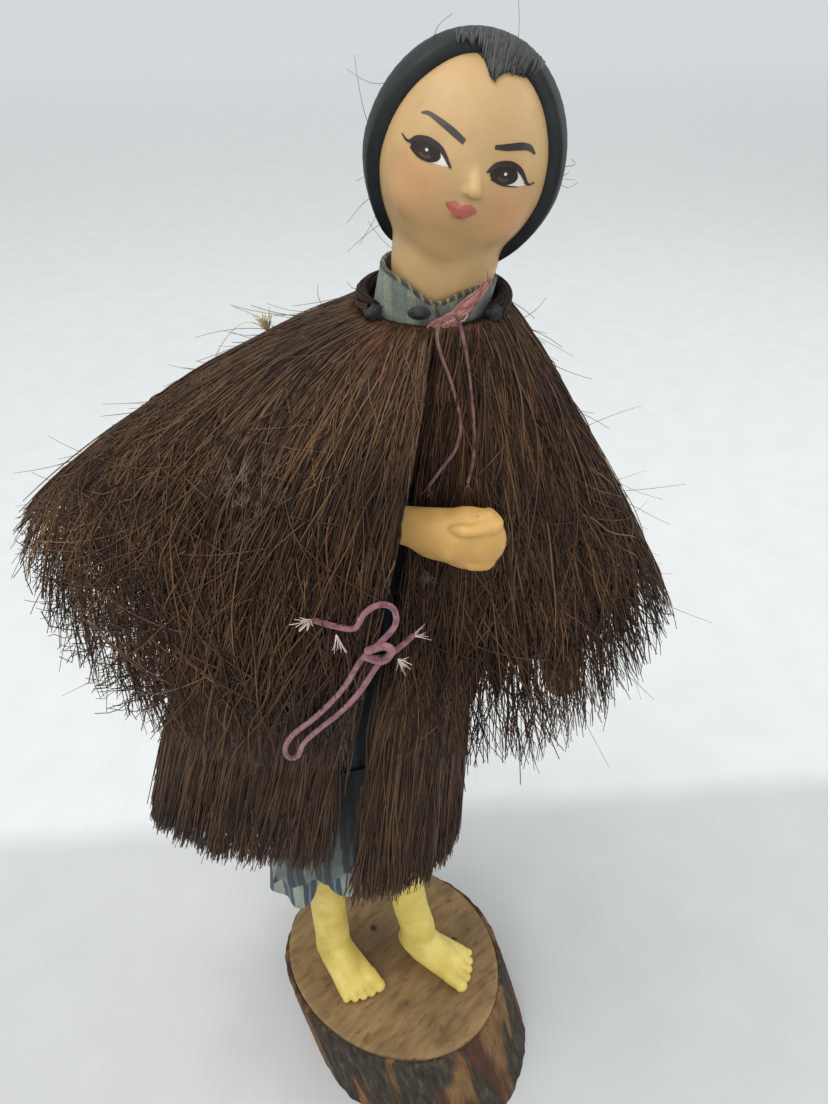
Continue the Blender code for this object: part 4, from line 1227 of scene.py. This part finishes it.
# ---------------------------------------------------------------- arms
RIGHT_ARM = (
    (-10.0, -3.4, 220.0),
    (-20.5, 4.5, 211.5),
    (-30.5, 9.5, 200.5),
    (-34.5, -0.5, 197.0),
    (-29.5, -12.0, 202.0),
)
LEFT_ARM = ((10.0, -17.0, 220.0), (15.4, -22.4, 206.5), (18.8, -27.0, 195.5), (17.6, -31.0, 186.5))
RIGHT_WRIST, RIGHT_FIST = vec(-17.6, -24.4, 207.1), vec(-8.2, -35.6, 206.1)
LEFT_WRIST, LEFT_FIST = vec(14.6, -34.4, 178.0), vec(12.6, -36.4, 167.0)
SLEEVE_RADIUS = 5.0
for side, route, wrist, fist in (
    ("right", RIGHT_ARM, RIGHT_WRIST, RIGHT_FIST), ("left", LEFT_ARM, LEFT_WRIST, LEFT_FIST)
):
    hand_way = unit(fist - wrist)
    path = smooth_line([*route, *(wrist + hand_way * reach for reach in (-6.5, -3.0, 2.0))], 12)[9:-24]
    wide = spread((4.3, SLEEVE_RADIUS - 0.1, 4.2, 3.7), len(path))
    long = np.linalg.norm(np.diff(path, axis=0), axis=1).sum() * MM
    cloth_tube(f"{side}_sleeve_cloth", path, wide, DARK_CLOTH, f"{side}_sleeve", 4, 0.10,
               thick=0.35, slot="sleeve_cloth")


def make_hand(side, wrist, fist, over_hint):
    """A closed fist on a short wrist: knuckles at the far end, the thumb laid along the top."""
    way = unit(fist - wrist)
    over = unit(over_hint - way * over_hint.dot(way))
    back = unit(np.cross(over, way))
    if back.dot(FRONT) < 0:
        back = -back

    def at(along, up, out):
        return wrist + way * along + over * up + back * out

    parts = [
        tube_parts(
            [at(-3.4, 0.6, 0), at(0, 0.5, 0), at(4.0, 0.3, 0.1), at(9, -0.2, 0.2)],
            [2.8, 2.8, 3.3, 4.3],
            20,
            0.95,
        ),
        ball_parts(at(11.2, -0.3, 0.1), (5.6, 5.2, 3.5), (way, over, back)),
        ball_parts(at(7.2, -0.5, 0.1), (5.6, 4.0, 3.3), (way, over, back)),
        tube_parts([at(13.2, 3.4, 0.4), at(13.8, -2.4, 0.2)], [1.9, 2.2], 16),
    ]
    form = blob_mesh(f"{side}_fist_form", parts, 0.45, 12, 0.6)
    parts = [(np.array([v.co for v in form.vertices]) / MM, [tuple(p.vertices) for p in form.polygons])]
    # The thumb lies along the top; the fingers are only hinted at round the far end.
    thumb = [at(8.8, 2.7, 2.7), at(10.2, 3.0, 3.05), at(11.8, 3.1, 2.95), at(13.0, 3.0, 2.5)]
    parts.append(tube_parts(smooth_line(thumb, 3), spread((0.7, 0.95, 0.9, 0.6), 10), 14))
    for k in range(4):
        up = 3.1 - 2.1 * k
        joints = [
            at(12.0, up, 2.3),
            at(14.2, up, 1.7),
            at(15.5 - 0.18 * abs(up - 0.4) ** 1.3, up * 0.95, 0.0),
            at(13.5, up * 0.9, -2.2),
        ]
        parts.append(tube_parts(smooth_line(joints, 3), [1.05] * 10, 12))
    mesh = blob_mesh(f"{side}_fist", parts, 0.24, 6, 0.5)
    add_object(f"{side}_fist", mesh, HAND, body=f"{side}_hand", nodes=(f"{side}_hand",), slot="hand_paint")
    return at


make_hand("right", RIGHT_WRIST, RIGHT_FIST, UP)
make_hand("left", LEFT_WRIST, LEFT_FIST, FRONT)


# ---------------------------------------------------------------- feet
FOOT_TOP = 25.3
for side, toe, ankle, knee, medial in (
    ("right", vec(-15.0, -7.5, 0), vec(-13.2, 12.0, 0), vec(-12.0, 15.5, 72.0), -1),
    ("left", vec(13.2, -22.8, 0), vec(7.0, -4.0, 0), vec(3.6, 0.8, 76.0), 1),
):
    floor = UP * FOOT_TOP
    way = unit(toe - ankle)
    across = np.cross(way, UP) * -medial

    def spot(along, sideways, up):
        return floor + ankle + way * along + across * sideways + UP * up

    shank = [spot(-0.6, 0, 4.4), spot(-0.2, 0, 11), floor * 0.55 + ankle + (knee - ankle) * 0.45, knee]
    parts = [
        tube_parts(shank, [5.3, 5.1, 5.1, 4.9], 24),
        tube_parts(
            [spot(-2.4, 0, 4.0), spot(3.0, 0, 5.0), spot(8.5, 0.2, 3.4), spot(13.5, 0.3, 2.2)],
            [4.4, 4.6, 3.6, 2.3],
            20,
        ),
        tube_parts([spot(1.0, -2.0, 3.0), spot(8.0, -3.2, 2.4), spot(14.0, -4.2, 2.0)], [3.3, 2.7, 2.1], 16),
        tube_parts([spot(1.0, 2.0, 3.0), spot(8.0, 3.2, 2.4), spot(13.0, 4.4, 1.9)], [3.3, 2.6, 1.9], 16),
        tube_parts([spot(12.0, -3.4, 1.9), spot(13.2, 3.4, 1.9)], [2.1, 2.0], 16),
    ]
    form = blob_mesh(f"{side}_foot_form", parts, 0.5, 24, 0.6)
    parts = [(np.array([v.co for v in form.vertices]) / MM, [tuple(p.vertices) for p in form.polygons])]
    toes = ((-4.6, 17.8, 1.95), (-1.75, 18.2, 1.3), (0.65, 17.6, 1.25), (2.95, 16.7, 1.2), (5.1, 15.4, 1.15))
    for sideways, reach, fat in toes:
        parts.append(
            tube_parts(
                [spot(reach - 5.5, sideways * 0.94, 2.1), spot(reach - 1.0, sideways, 1.5)],
                [fat, fat * 0.95],
                14,
            ),
        )
        parts.append(ball_parts(spot(reach - 0.9, sideways, 1.45), (fat, fat, fat)))
    mesh = blob_mesh(f"{side}_bare_foot", parts, 0.24, 5, 0.5)
    for point in mesh.vertices:
        point.co.z = max(point.co.z, FOOT_TOP * MM)
    add_object(f"{side}_bare_foot", mesh, FOOT, nodes=(f"{side}_leg",), slot="foot_paint")


# ---------------------------------------------------------------- head
HEAD_CENTRE = vec(3.5, -15.3, 251.5)
HEAD_WIDE, HEAD_DEEP, HEAD_TALL = 11.9, 12.2, 14.0
HEAD_ROLL = math.radians(6.0)
axis_up = unit(HEAD_CENTRE - (NECK - vec(0, 0, 4)))
HEAD_FRONT = unit(FRONT - axis_up * FRONT.dot(axis_up))
axis_side = unit(np.cross(axis_up, HEAD_FRONT))
HEAD_UP = axis_up * math.cos(HEAD_ROLL) + axis_side * math.sin(HEAD_ROLL)
HEAD_SIDE = axis_side * math.cos(HEAD_ROLL) - axis_up * math.sin(HEAD_ROLL)
HEAD_AXES = (HEAD_SIDE, HEAD_UP, HEAD_FRONT)


def head_at(x, y, z):
    """A place on the head: towards the doll's left, up and forward from its centre."""
    return HEAD_CENTRE + HEAD_SIDE * x + HEAD_UP * y + HEAD_FRONT * z


def skull(phi, theta, grow=0.0):
    """The egg-shaped head: phi turns about the face from the crown, theta opens from the face to the back."""
    phi, theta = np.radians(phi), np.radians(theta)
    x, y, z = np.sin(theta) * np.sin(phi), np.sin(theta) * np.cos(phi), np.cos(theta)
    chin = np.maximum(0.0, -y)
    jaw = 1 - 0.22 * chin**1.5
    px = x * (HEAD_WIDE * jaw + grow)
    py = y * (HEAD_TALL + grow)
    pz = z * (HEAD_DEEP * (1 - 0.10 * chin) + grow)
    local = np.stack(np.broadcast_arrays(px, py, pz), -1)
    return HEAD_CENTRE + local @ np.array(HEAD_AXES)


def make_head():
    rows, sides = 60, 96
    theta = np.linspace(0.6, 179.4, rows)[:, None]
    phi = (360 * np.arange(sides) / sides)[None, :]
    grid = skull(phi, theta, 0.0)
    faces = []
    for i in range(rows - 1):
        for j in range(sides):
            k = (j + 1) % sides
            faces.append((i * sides + j, i * sides + k, (i + 1) * sides + k, (i + 1) * sides + j))
    faces.append(tuple(range(sides))[::-1])
    faces.append(tuple((rows - 1) * sides + j for j in range(sides)))
    neck_low = HEAD_CENTRE - axis_up * (HEAD_TALL + 12.3)
    neck_high = HEAD_CENTRE - axis_up * 5.0
    # The soft form first: skull, neck, cheeks and chin. The small features are joined to it afterwards.
    parts = [
        (grid.reshape(-1, 3), faces),
        tube_parts(
            [neck_low + (neck_high - neck_low) * a for a in (0, 0.3, 0.55, 1.0)], [5.0, 6.3, 7.5, 8.2], 32
        ),
        ball_parts(head_at(-4.4, -3.0, 6.6), (4.8, 4.8, 3.7), HEAD_AXES),
        ball_parts(head_at(4.4, -3.0, 6.6), (4.8, 4.8, 3.7), HEAD_AXES),
        ball_parts(head_at(0, -8.0, 5.8), (4.6, 3.6, 3.6), HEAD_AXES),
    ]
    form = blob_mesh("head_form", parts, 0.5, 34, 0.6)
    form_parts = (np.array([v.co for v in form.vertices]) / MM, [tuple(p.vertices) for p in form.polygons])
    parts = [
        form_parts,
        tube_parts(
            [head_at(0.3, 3.0, 11.0), head_at(0.7, 1.2, 11.8), head_at(1.0, -0.4, 12.5)], [0.6, 0.75, 0.9], 14
        ),
        ball_parts(head_at(1.0, -0.6, 12.2), (1.1, 0.75, 0.95), HEAD_AXES),
        ball_parts(head_at(0.1, -0.8, 11.8), (0.6, 0.5, 0.6), HEAD_AXES),
        ball_parts(head_at(1.9, -0.8, 11.6), (0.6, 0.5, 0.6), HEAD_AXES),
        ball_parts(head_at(0.1, -2.85, 11.35), (1.8, 0.6, 0.7), HEAD_AXES),
        ball_parts(head_at(0.1, -3.6, 11.2), (1.4, 0.6, 0.7), HEAD_AXES),
    ]
    mesh = blob_mesh("painted_head", parts, 0.22, 9, 0.5)
    return add_object("painted_head", mesh, FACE, body="head", nodes=("head",), slot="face_paint")


def blush_and_painted_light():
    """Warm cheeks painted into the face's colour, with painted shade under the chin and in the eye hollows
    and a painted highlight down the nose ridge.
    """
    base = FACE.shader.inputs["Base Color"].links[0].from_socket
    for x in (-6.0, 6.0):
        base = FACE.mix(
            FACE.calc("MULTIPLY", FACE.near(head_at(x, -2.4, 9.5), 6.8), 0.34), base, rgb(190, 118, 84)
        )
    # Painted shade: darker under the lips and on the chin.
    base = FACE.mix(
        FACE.calc("MULTIPLY", FACE.near(head_at(0.0, -7.4, 10.5), 5.6), 0.36), base, rgb(158, 112, 72)
    )
    # Painted highlight: lighter down the nose ridge between the eyes.
    base = FACE.mix(
        FACE.calc("MULTIPLY", FACE.near(head_at(0.6, 1.0, 13.0), 2.6), 0.30), base, rgb(214, 178, 118)
    )
    # Painted shade: darker in the hollows above the eyes.
    for x in (-5.2, 4.8):
        base = FACE.mix(
            FACE.calc("MULTIPLY", FACE.near(head_at(x, 3.6, 10.6), 2.8), 0.22), base, rgb(160, 114, 84)
        )
    FACE.colour(base)


blush_and_painted_light()
head_piece = make_head()
head_tree = BVHTree.FromPolygons(
    [tuple(v.co / MM) for v in head_piece.data.vertices], [
        tuple(p.vertices) for p in head_piece.data.polygons
    ]
)


def paint_shape(name, grid, lift, look, wrap, slot="face_paint"):
    """A thin film of paint on the face. grid is (rows, columns, 2), in the face's own x and y."""
    outer, inner = [], []
    for row in grid:
        out_row, in_row = [], []
        for x, y in row:
            start = head_at(x, y, 30.0)
            spot, normal, _, _ = head_tree.ray_cast(Vector(start), Vector(-HEAD_FRONT))
            spot, normal = np.array(spot), np.array(normal)
            out_row.append(spot + normal * lift)
            in_row.append(spot - normal * 0.3)
        outer.append(out_row)
        inner.append(in_row)
    return shell(name, outer, inner, look, wrap=wrap, body="head", slot=slot, angle=35)


def filled(name, outline, centre, lift, look):
    """A filled shape with a smooth closed outline."""
    ring = [*outline, outline[0], outline[1], outline[2]]
    smooth = smooth_line([(x, y, 0) for x, y in ring], 6)[6:-12, :2]
    shares = np.array([0.04, 0.35, 0.65, 0.88, 1.0])
    grid = centre + (smooth[None] - centre) * shares[:, None, None]
    return paint_shape(name, grid, lift, look, True)


def stroke(name, points, widths, lift, look):
    """A brush stroke of changing width."""
    line = smooth_line([(x, y, 0) for x, y in points], 6)[:, :2]
    wide = spread(widths, len(line)) / 2
    ahead = np.gradient(line, axis=0)
    ahead /= np.linalg.norm(ahead, axis=1, keepdims=True)
    left = np.stack([-ahead[:, 1], ahead[:, 0]], -1)
    grid = line[:, None, :] + left[:, None, :] * (wide[:, None] * np.array([-1, -0.4, 0.4, 1]))[..., None]
    return paint_shape(name, grid, lift, look, False)


def flat_paint(name, low, high, roughness=0.35):
    made = Look(name, roughness)
    made.colour(made.ramp(made.noise(1.5, 3.0), (0.3, low), (0.7, high)))
    return made.bump(made.noise(3.0, 2.0), 0.02)


INK = flat_paint("ink_paint_look", rgb(24, 17, 14), rgb(42, 30, 24))
IRIS = flat_paint("iris_paint_look", rgb(22, 14, 10), rgb(44, 30, 20), 0.25)
RING = flat_paint("iris_ring_look", rgb(58, 46, 30), rgb(76, 60, 38), 0.3)
WHITE = flat_paint("eye_white_look", rgb(196, 188, 176), rgb(214, 206, 196))
LIP = flat_paint("lip_paint_look", rgb(150, 74, 62), rgb(172, 92, 78), 0.5)


def circle(x, y, wide, tall):
    return [
        (x + wide * math.cos(a), y + tall * math.sin(a)) for a in np.linspace(0, math.tau, 12, endpoint=False)
    ]


def make_eye(side, white, iris, lid, low_lid, lash):
    centre = np.mean(np.array(white), axis=0)
    filled(f"{side}_eye_white", white, centre, 0.05, WHITE)
    x, y = iris
    filled(f"{side}_iris", circle(x, y, 1.85, 1.08), np.array(iris), 0.09, IRIS)
    filled(f"{side}_iris_glow", circle(x, y - 0.45, 0.7, 0.3), np.array((x, y - 0.45)), 0.11, RING)
    filled(f"{side}_pupil", circle(x, y + 0.1, 0.6, 0.55), np.array((x, y + 0.1)), 0.13, INK)
    filled(
        f"{side}_eye_light", circle(x + 0.1, y + 0.15, 0.17, 0.17), np.array((x + 0.1, y + 0.15)), 0.16, WHITE
    )
    stroke(f"{side}_upper_lid", lid, (0.25, 0.6, 0.7, 0.6, 0.25), 0.15, INK)
    stroke(f"{side}_lower_lid", low_lid, (0.2, 0.2, 0.1), 0.10, INK)
    stroke(f"{side}_lash", lash, (0.4, 0.25, 0.08), 0.14, INK)


make_eye(
    "right",
    [
        (-7.6, 2.1),
        (-6.9, 2.85),
        (-5.7, 3.1),
        (-4.2, 2.75),
        (-3.0, 1.85),
        (-2.6, 1.35),
        (-3.6, 1.15),
        (-5.0, 1.1),
        (-6.7, 1.4),
    ],
    (-5.75, 2.02),
    [(-7.9, 2.1), (-7.0, 2.9), (-5.6, 3.2), (-4.0, 2.75), (-2.45, 1.25)],
    [(-7.6, 1.7), (-6.6, 1.2), (-5.2, 1.0)],
    [(-7.4, 2.35), (-8.2, 2.2), (-8.9, 2.6)],
)
make_eye(
    "left",
    [
        (2.0, 2.1),
        (2.6, 2.85),
        (3.8, 3.25),
        (5.2, 3.15),
        (6.5, 2.4),
        (7.3, 1.55),
        (6.4, 1.2),
        (5.0, 1.1),
        (3.2, 1.3),
    ],
    (4.05, 2.12),
    [(1.9, 1.95), (2.8, 3.0), (4.4, 3.4), (5.9, 2.95), (7.4, 1.55)],
    [(2.6, 1.35), (4.2, 1.0), (6.2, 1.1)],
    [(7.0, 1.8), (7.7, 1.5), (8.4, 1.75)],
)
stroke(
    "right_brow",
    [(-7.3, 5.5), (-6.4, 5.75), (-4.7, 5.4), (-3.1, 4.9), (-1.7, 4.35)],
    (0.12, 0.45, 0.7, 0.8, 0.65),
    0.08,
    INK,
)
stroke(
    "left_brow",
    [(2.0, 4.75), (3.5, 5.05), (5.2, 5.45), (6.4, 5.45), (7.3, 4.9)],
    (0.45, 0.75, 0.85, 0.65, 0.2),
    0.08,
    INK,
)
filled(
    "lips",
    [
        (-1.95, -2.7),
        (-0.9, -2.15),
        (0.1, -2.45),
        (1.1, -2.15),
        (2.2, -2.8),
        (1.3, -3.65),
        (0.15, -4.05),
        (-1.0, -3.6),
    ],
    np.array((0.1, -2.95)),
    0.07,
    LIP,
)

HAIR_EDGE = (
    (-180, 126), (-165, 116), (-150, 96), (-135, 81), (-121, 74), (-106, 69), (-86, 66),
    (-63, 66), (-40, 67), (-22, 70), (0, 71), (19, 69), (34, 66), (53, 62),
    (80, 60), (105, 61), (121, 68), (136, 78), (150, 95), (165, 116), (180, 126),
)


def make_hair():
    """The moulded hair: a cap with a rounded rim that leaves the face open."""
    columns, rows = 180, 34
    phi = np.linspace(-180, 180, columns, endpoint=False)
    table = np.array(HAIR_EDGE, float)
    edge = np.mean(
        [np.interp((phi + s + 180) % 360 - 180, table[:, 0], table[:, 1]) for s in (-4, -2, 0, 2, 4)], axis=0
    )
    share = np.concatenate([np.linspace(0, 0.10, 8, endpoint=False), np.linspace(0.10, 1, rows - 8)])[:, None]
    theta = edge + (179.4 - edge) * share
    soft = np.exp(-((phi / 20.0) ** 2))
    rise = np.sqrt(np.clip(share / (0.030 + 0.05 * soft), 0, 1))
    thick = 0.15 + 1.35 * rise
    groove = 0.03 * np.sin(np.radians(phi) * 60)[None, :] * np.sin(math.pi * share)
    outer = skull(phi[None, :], theta, thick + groove)
    inner = skull(phi[None, :], theta, -0.35)
    shell("moulded_hair", outer, inner, HAIR, body="head", nodes=("hair_cap",), slot="hair_paint", angle=50)


make_hair()

# The painted peak over the brow, and the brush strokes that fade it into the skin.
def peak_edge(phi):
    """How far forward the painted peak reaches: a point, with a lower step beside it."""
    return 71.5 - 12.0 * np.exp(-(((phi + 2) / 7.5) ** 2)) - 9.0 * np.exp(-(((phi - 8) / 14) ** 4))


at_phi = np.linspace(-25, 27, 52)
front_edge = peak_edge(at_phi) + 0.5 * np.sin(at_phi * 2.1) + rng.normal(0, 0.35, 52)
rows_in = np.linspace(0, 1, 10)[:, None]
theta = front_edge[None, :] + (76 - front_edge[None, :]) * rows_in
shell(
    "forelock_paint",
    skull(at_phi[None, :], theta, 0.06 + 0.16 * np.sqrt(rows_in)),
    skull(at_phi[None, :], theta, -0.3),
    FORELOCK,
    wrap=False,
    body="head",
    slot="hair_paint",
)
count = 260
at_phi = rng.uniform(-24, 27, count)
t = np.linspace(0, 1, 8)[None, :]
tip = peak_edge(at_phi) + rng.uniform(-3.0, 7, count)
theta = tip[:, None] + (84 - tip[:, None]) * t
phi_line = at_phi[:, None] * (1 - 0.10 * t) + rng.normal(0, 1.5, (count, 1)) * t
climb = np.clip((theta - 67.5) / 6.0, 0, 1)
lines = skull(phi_line, theta, 0.16 + 1.30 * np.sqrt(climb) + rng.uniform(0, 0.12, (count, 1)))
radii = rng.uniform(0.08, 0.20, (count, 1)) * np.clip(0.3 + 2.5 * t, 0, 1)
strands(
    "forelock_strokes", lines, radii, rng.uniform(0, 1, count), FORELOCK, 5, body="head", slot="hair_paint"
)

# A few loose hairs that cling round the head and neck.
count = 26
root_phi, root_theta = rng.uniform(-150, 150, count), rng.uniform(75, 130, count)
root = skull(root_phi, root_theta, 1.5)
out = unit(root - HEAD_CENTRE)
t = np.linspace(0, 1, 9)[None, :, None]
way = unit(out + rng.normal(0, 0.7, (count, 3)))
long = rng.uniform(1.5, 5.0, (count, 1, 1))
lines = root[:, None, :] + way[:, None, :] * t * long + unit(
    rng.normal(size=(count, 3))
)[:, None, :] * t**2 * long * 0.9
radii = np.full((count, 9), 0.042) * np.linspace(1, 0.6, 9)
strands("stray_head_hairs", lines, radii, rng.uniform(0, 0.5, count), PALM, body="head", slot="palm_fibre")


# ---------------------------------------------------------------- base
def make_base():
    height, shift, long, wide, bark = 25.0, 12.0, 35.2, 29.7, 1.7
    swing = math.radians(23.0)
    sides, rows = 200, 36
    turn = math.tau * np.arange(sides) / sides
    wobble = 1 + 0.018 * np.sin(2 * turn + 0.6) + 0.012 * np.sin(3 * turn + 2)

    def ring(level, grow):
        x = (wide * wobble + grow) * np.cos(turn)
        y = (long * wobble + grow) * np.sin(turn)
        turned_x = x * math.cos(swing) - y * math.sin(swing)
        turned_y = x * math.sin(swing) + y * math.cos(swing) - shift * (1 - level / height)
        return np.stack([turned_x, turned_y, np.full_like(x, level)], -1)

    # The sawn slice, slightly dished and with a soft edge.
    grow = [-bark, -bark - 0.1, -bark - 0.5]
    rings = [
        ring(0.0, -bark), ring(12.0, -bark), ring(24.4, grow[0]), ring(24.85, grow[1]), ring(25.0, grow[2])
    ]
    centre_top = vec(0.0, 0.0, 25.0)
    shares = np.linspace(0.96, 0.02, 26)
    for s in shares:
        flat = centre_top + (rings[4] - centre_top) * s
        flat[:, 2] = 25.0 - 0.10 * (1 - s)
        rings.append(flat)
    rings = np.array(rings)
    count = len(rings)
    faces = []
    for i in range(count - 1):
        for j in range(sides):
            k = (j + 1) % sides
            faces.append((i * sides + j, i * sides + k, (i + 1) * sides + k, (i + 1) * sides + j))
    faces.append(tuple(range(sides))[::-1])
    faces.append(tuple((count - 1) * sides + j for j in range(sides)))
    mesh = mesh_from("sawn_slice", rings.reshape(-1, 3), faces)
    outward(mesh)
    add_object("sawn_slice", mesh, WOOD_TOP, nodes=("base_slice",), slot="wood", angle=40)

    # Bark with ridges that follow the slanted branch, thinner where a strip has peeled away.
    level = np.linspace(0.0, 24.2, rows)[:, None]
    ridge = 0.35 * np.sin(turn * 31 + 0.6 * np.sin(level * 0.4)) + 0.25 * np.sin(turn * 53 + level * 0.15)
    ridge = ridge + 0.30 * np.sin(turn * 9 + 1.1) + rng.normal(0, 0.10, (rows, sides))
    strip = 1 / (1 + np.exp(-18 * (np.sin(turn * 4 + 1.4 + 0.25 * np.sin(level * 0.5)) - 0.55)))
    grow = -0.15 + ridge * 0.35 - 0.45 * strip
    grow = grow - 0.5 * np.clip(1 - (24.2 - level) / 0.8, 0, 1)
    outer = np.array([ring(float(level[i, 0]), grow[i]) for i in range(rows)])
    inner = np.array([ring(float(level[i, 0]), -bark + 0.2) for i in range(rows)])
    shell("rough_bark", outer, inner, BARK, nodes=("base_bark",), slot="bark", angle=70)


make_base()


# ---------------------------------------------------------------- hidden core
def wound(node, look=COTTON):
    """A padded core copied from its plain solid, with the ridges of the wound strip."""
    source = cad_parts[node]
    mesh = source.data.copy()
    mesh.materials.clear()
    made = bpy.data.objects.new(node + "_wound", mesh)
    bpy.context.scene.collection.objects.link(made)
    finer = made.modifiers.new("finer", "SUBSURF")
    finer.subdivision_type = "SIMPLE"
    finer.levels = 1
    bpy.context.view_layer.update()
    fine = bpy.data.meshes.new_from_object(made.evaluated_get(bpy.context.evaluated_depsgraph_get()))
    bpy.data.objects.remove(made, do_unlink=True)
    for point in fine.vertices:
        swell = 0.12 * math.sin(point.co.z / MM * 2.2 + point.co.x / MM * 0.7)
        point.co += point.normal * (swell * MM)
    piece = add_object(node + "_wound", fine, look, nodes=(node,), slot="cotton")


for node in (
    "torso_padding", "right_arm_padding", "left_arm_padding", "right_thigh_padding", "left_thigh_padding"
):
    wound(node)

KEPT = {
    "spine_wire": STEEL,
    "arm_wire": STEEL,
    "right_leg_wire": STEEL,
    "left_leg_wire": STEEL,
    "right_foot_pin": STEEL,
    "left_foot_pin": STEEL,
    "pelvis_block": PEG,
    "neck_peg": PEG,
}
for node, look in KEPT.items():
    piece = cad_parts[node]
    for place in piece.material_slots:
        place.material = look.made

# ---------------------------------------------------------------- stage
floor_mesh = bpy.data.meshes.new("floor")
FLOOR_HALF = 40
corners = [(x * FLOOR_HALF, y * FLOOR_HALF, 0) for x, y in ((-1, -1), (1, -1), (1, 1), (-1, 1))]
floor_mesh.from_pydata(corners, [], [(0, 1, 2, 3)])
floor = bpy.data.objects.new("floor", floor_mesh)
bpy.context.scene.collection.objects.link(floor)
paper = Look("paper_look", 0.9, specular=0.2)
x, y, z = paper.split()
along = paper.calc("ADD", paper.calc("MULTIPLY", x, 0.60), paper.calc("MULTIPLY", y, 0.80))
shade = paper.ramp(
    paper.calc("DIVIDE", along, 400.0), (0.155, rgb(192, 193, 193)), (0.185, rgb(212, 214, 214))
)
faint = paper.ramp(paper.noise(0.05, 3.0), (0.3, 0.97), (0.7, 1.02))
lines = paper.wave(0.10, paper.mapped((1, 1, 1), None, (0, 0, 42)), 0.2)
fine = paper.ramp(lines, (0.0, 0.985), (1.0, 1.0))
faint = paper.mix(1.0, faint, fine, "MULTIPLY")
paper.colour(paper.mix(1.0, shade, faint, "MULTIPLY"))
# Far from the lamps the sheet is lifted to the same even grey.
far = paper.ramp(paper.calc("DIVIDE", along, 2500.0), (0.04, 0.0), (0.25, 0.12), (0.9, 0.27))
paper.put(paper.shader.inputs["Emission Color"], rgb(240, 244, 244))
paper.put(paper.shader.inputs["Emission Strength"], far)
floor_mesh.materials.append(paper.made)

world = bpy.data.worlds.new("world")
bpy.context.scene.world = world
world.use_nodes = True
world.node_tree.nodes["Background"].inputs["Color"].default_value = (0.86, 0.90, 0.92, 1)
world.node_tree.nodes["Background"].inputs["Strength"].default_value = 0.72


def lamp(name, place, target, size, power, colour=(1, 1, 1)):
    data = bpy.data.lights.new(name, "AREA")
    data.size = size
    data.energy = power
    data.color = colour
    made = bpy.data.objects.new(name, data)
    made.location = place
    made.rotation_euler = (Vector(target) - Vector(place)).to_track_quat("-Z", "Y").to_euler()
    bpy.context.scene.collection.objects.link(made)


lamp("key_light", (-0.30, 0.10, 0.85), (0, 0, 0.15), 0.7, 5.2, (1, 0.98, 0.95))
lamp("fill_light", (-0.55, -0.75, 0.55), (0, 0, 0.15), 0.9, 4.2, (0.96, 0.98, 1))
lamp("right_light", (0.60, -0.35, 0.55), (0, 0, 0.15), 0.6, 2.2)
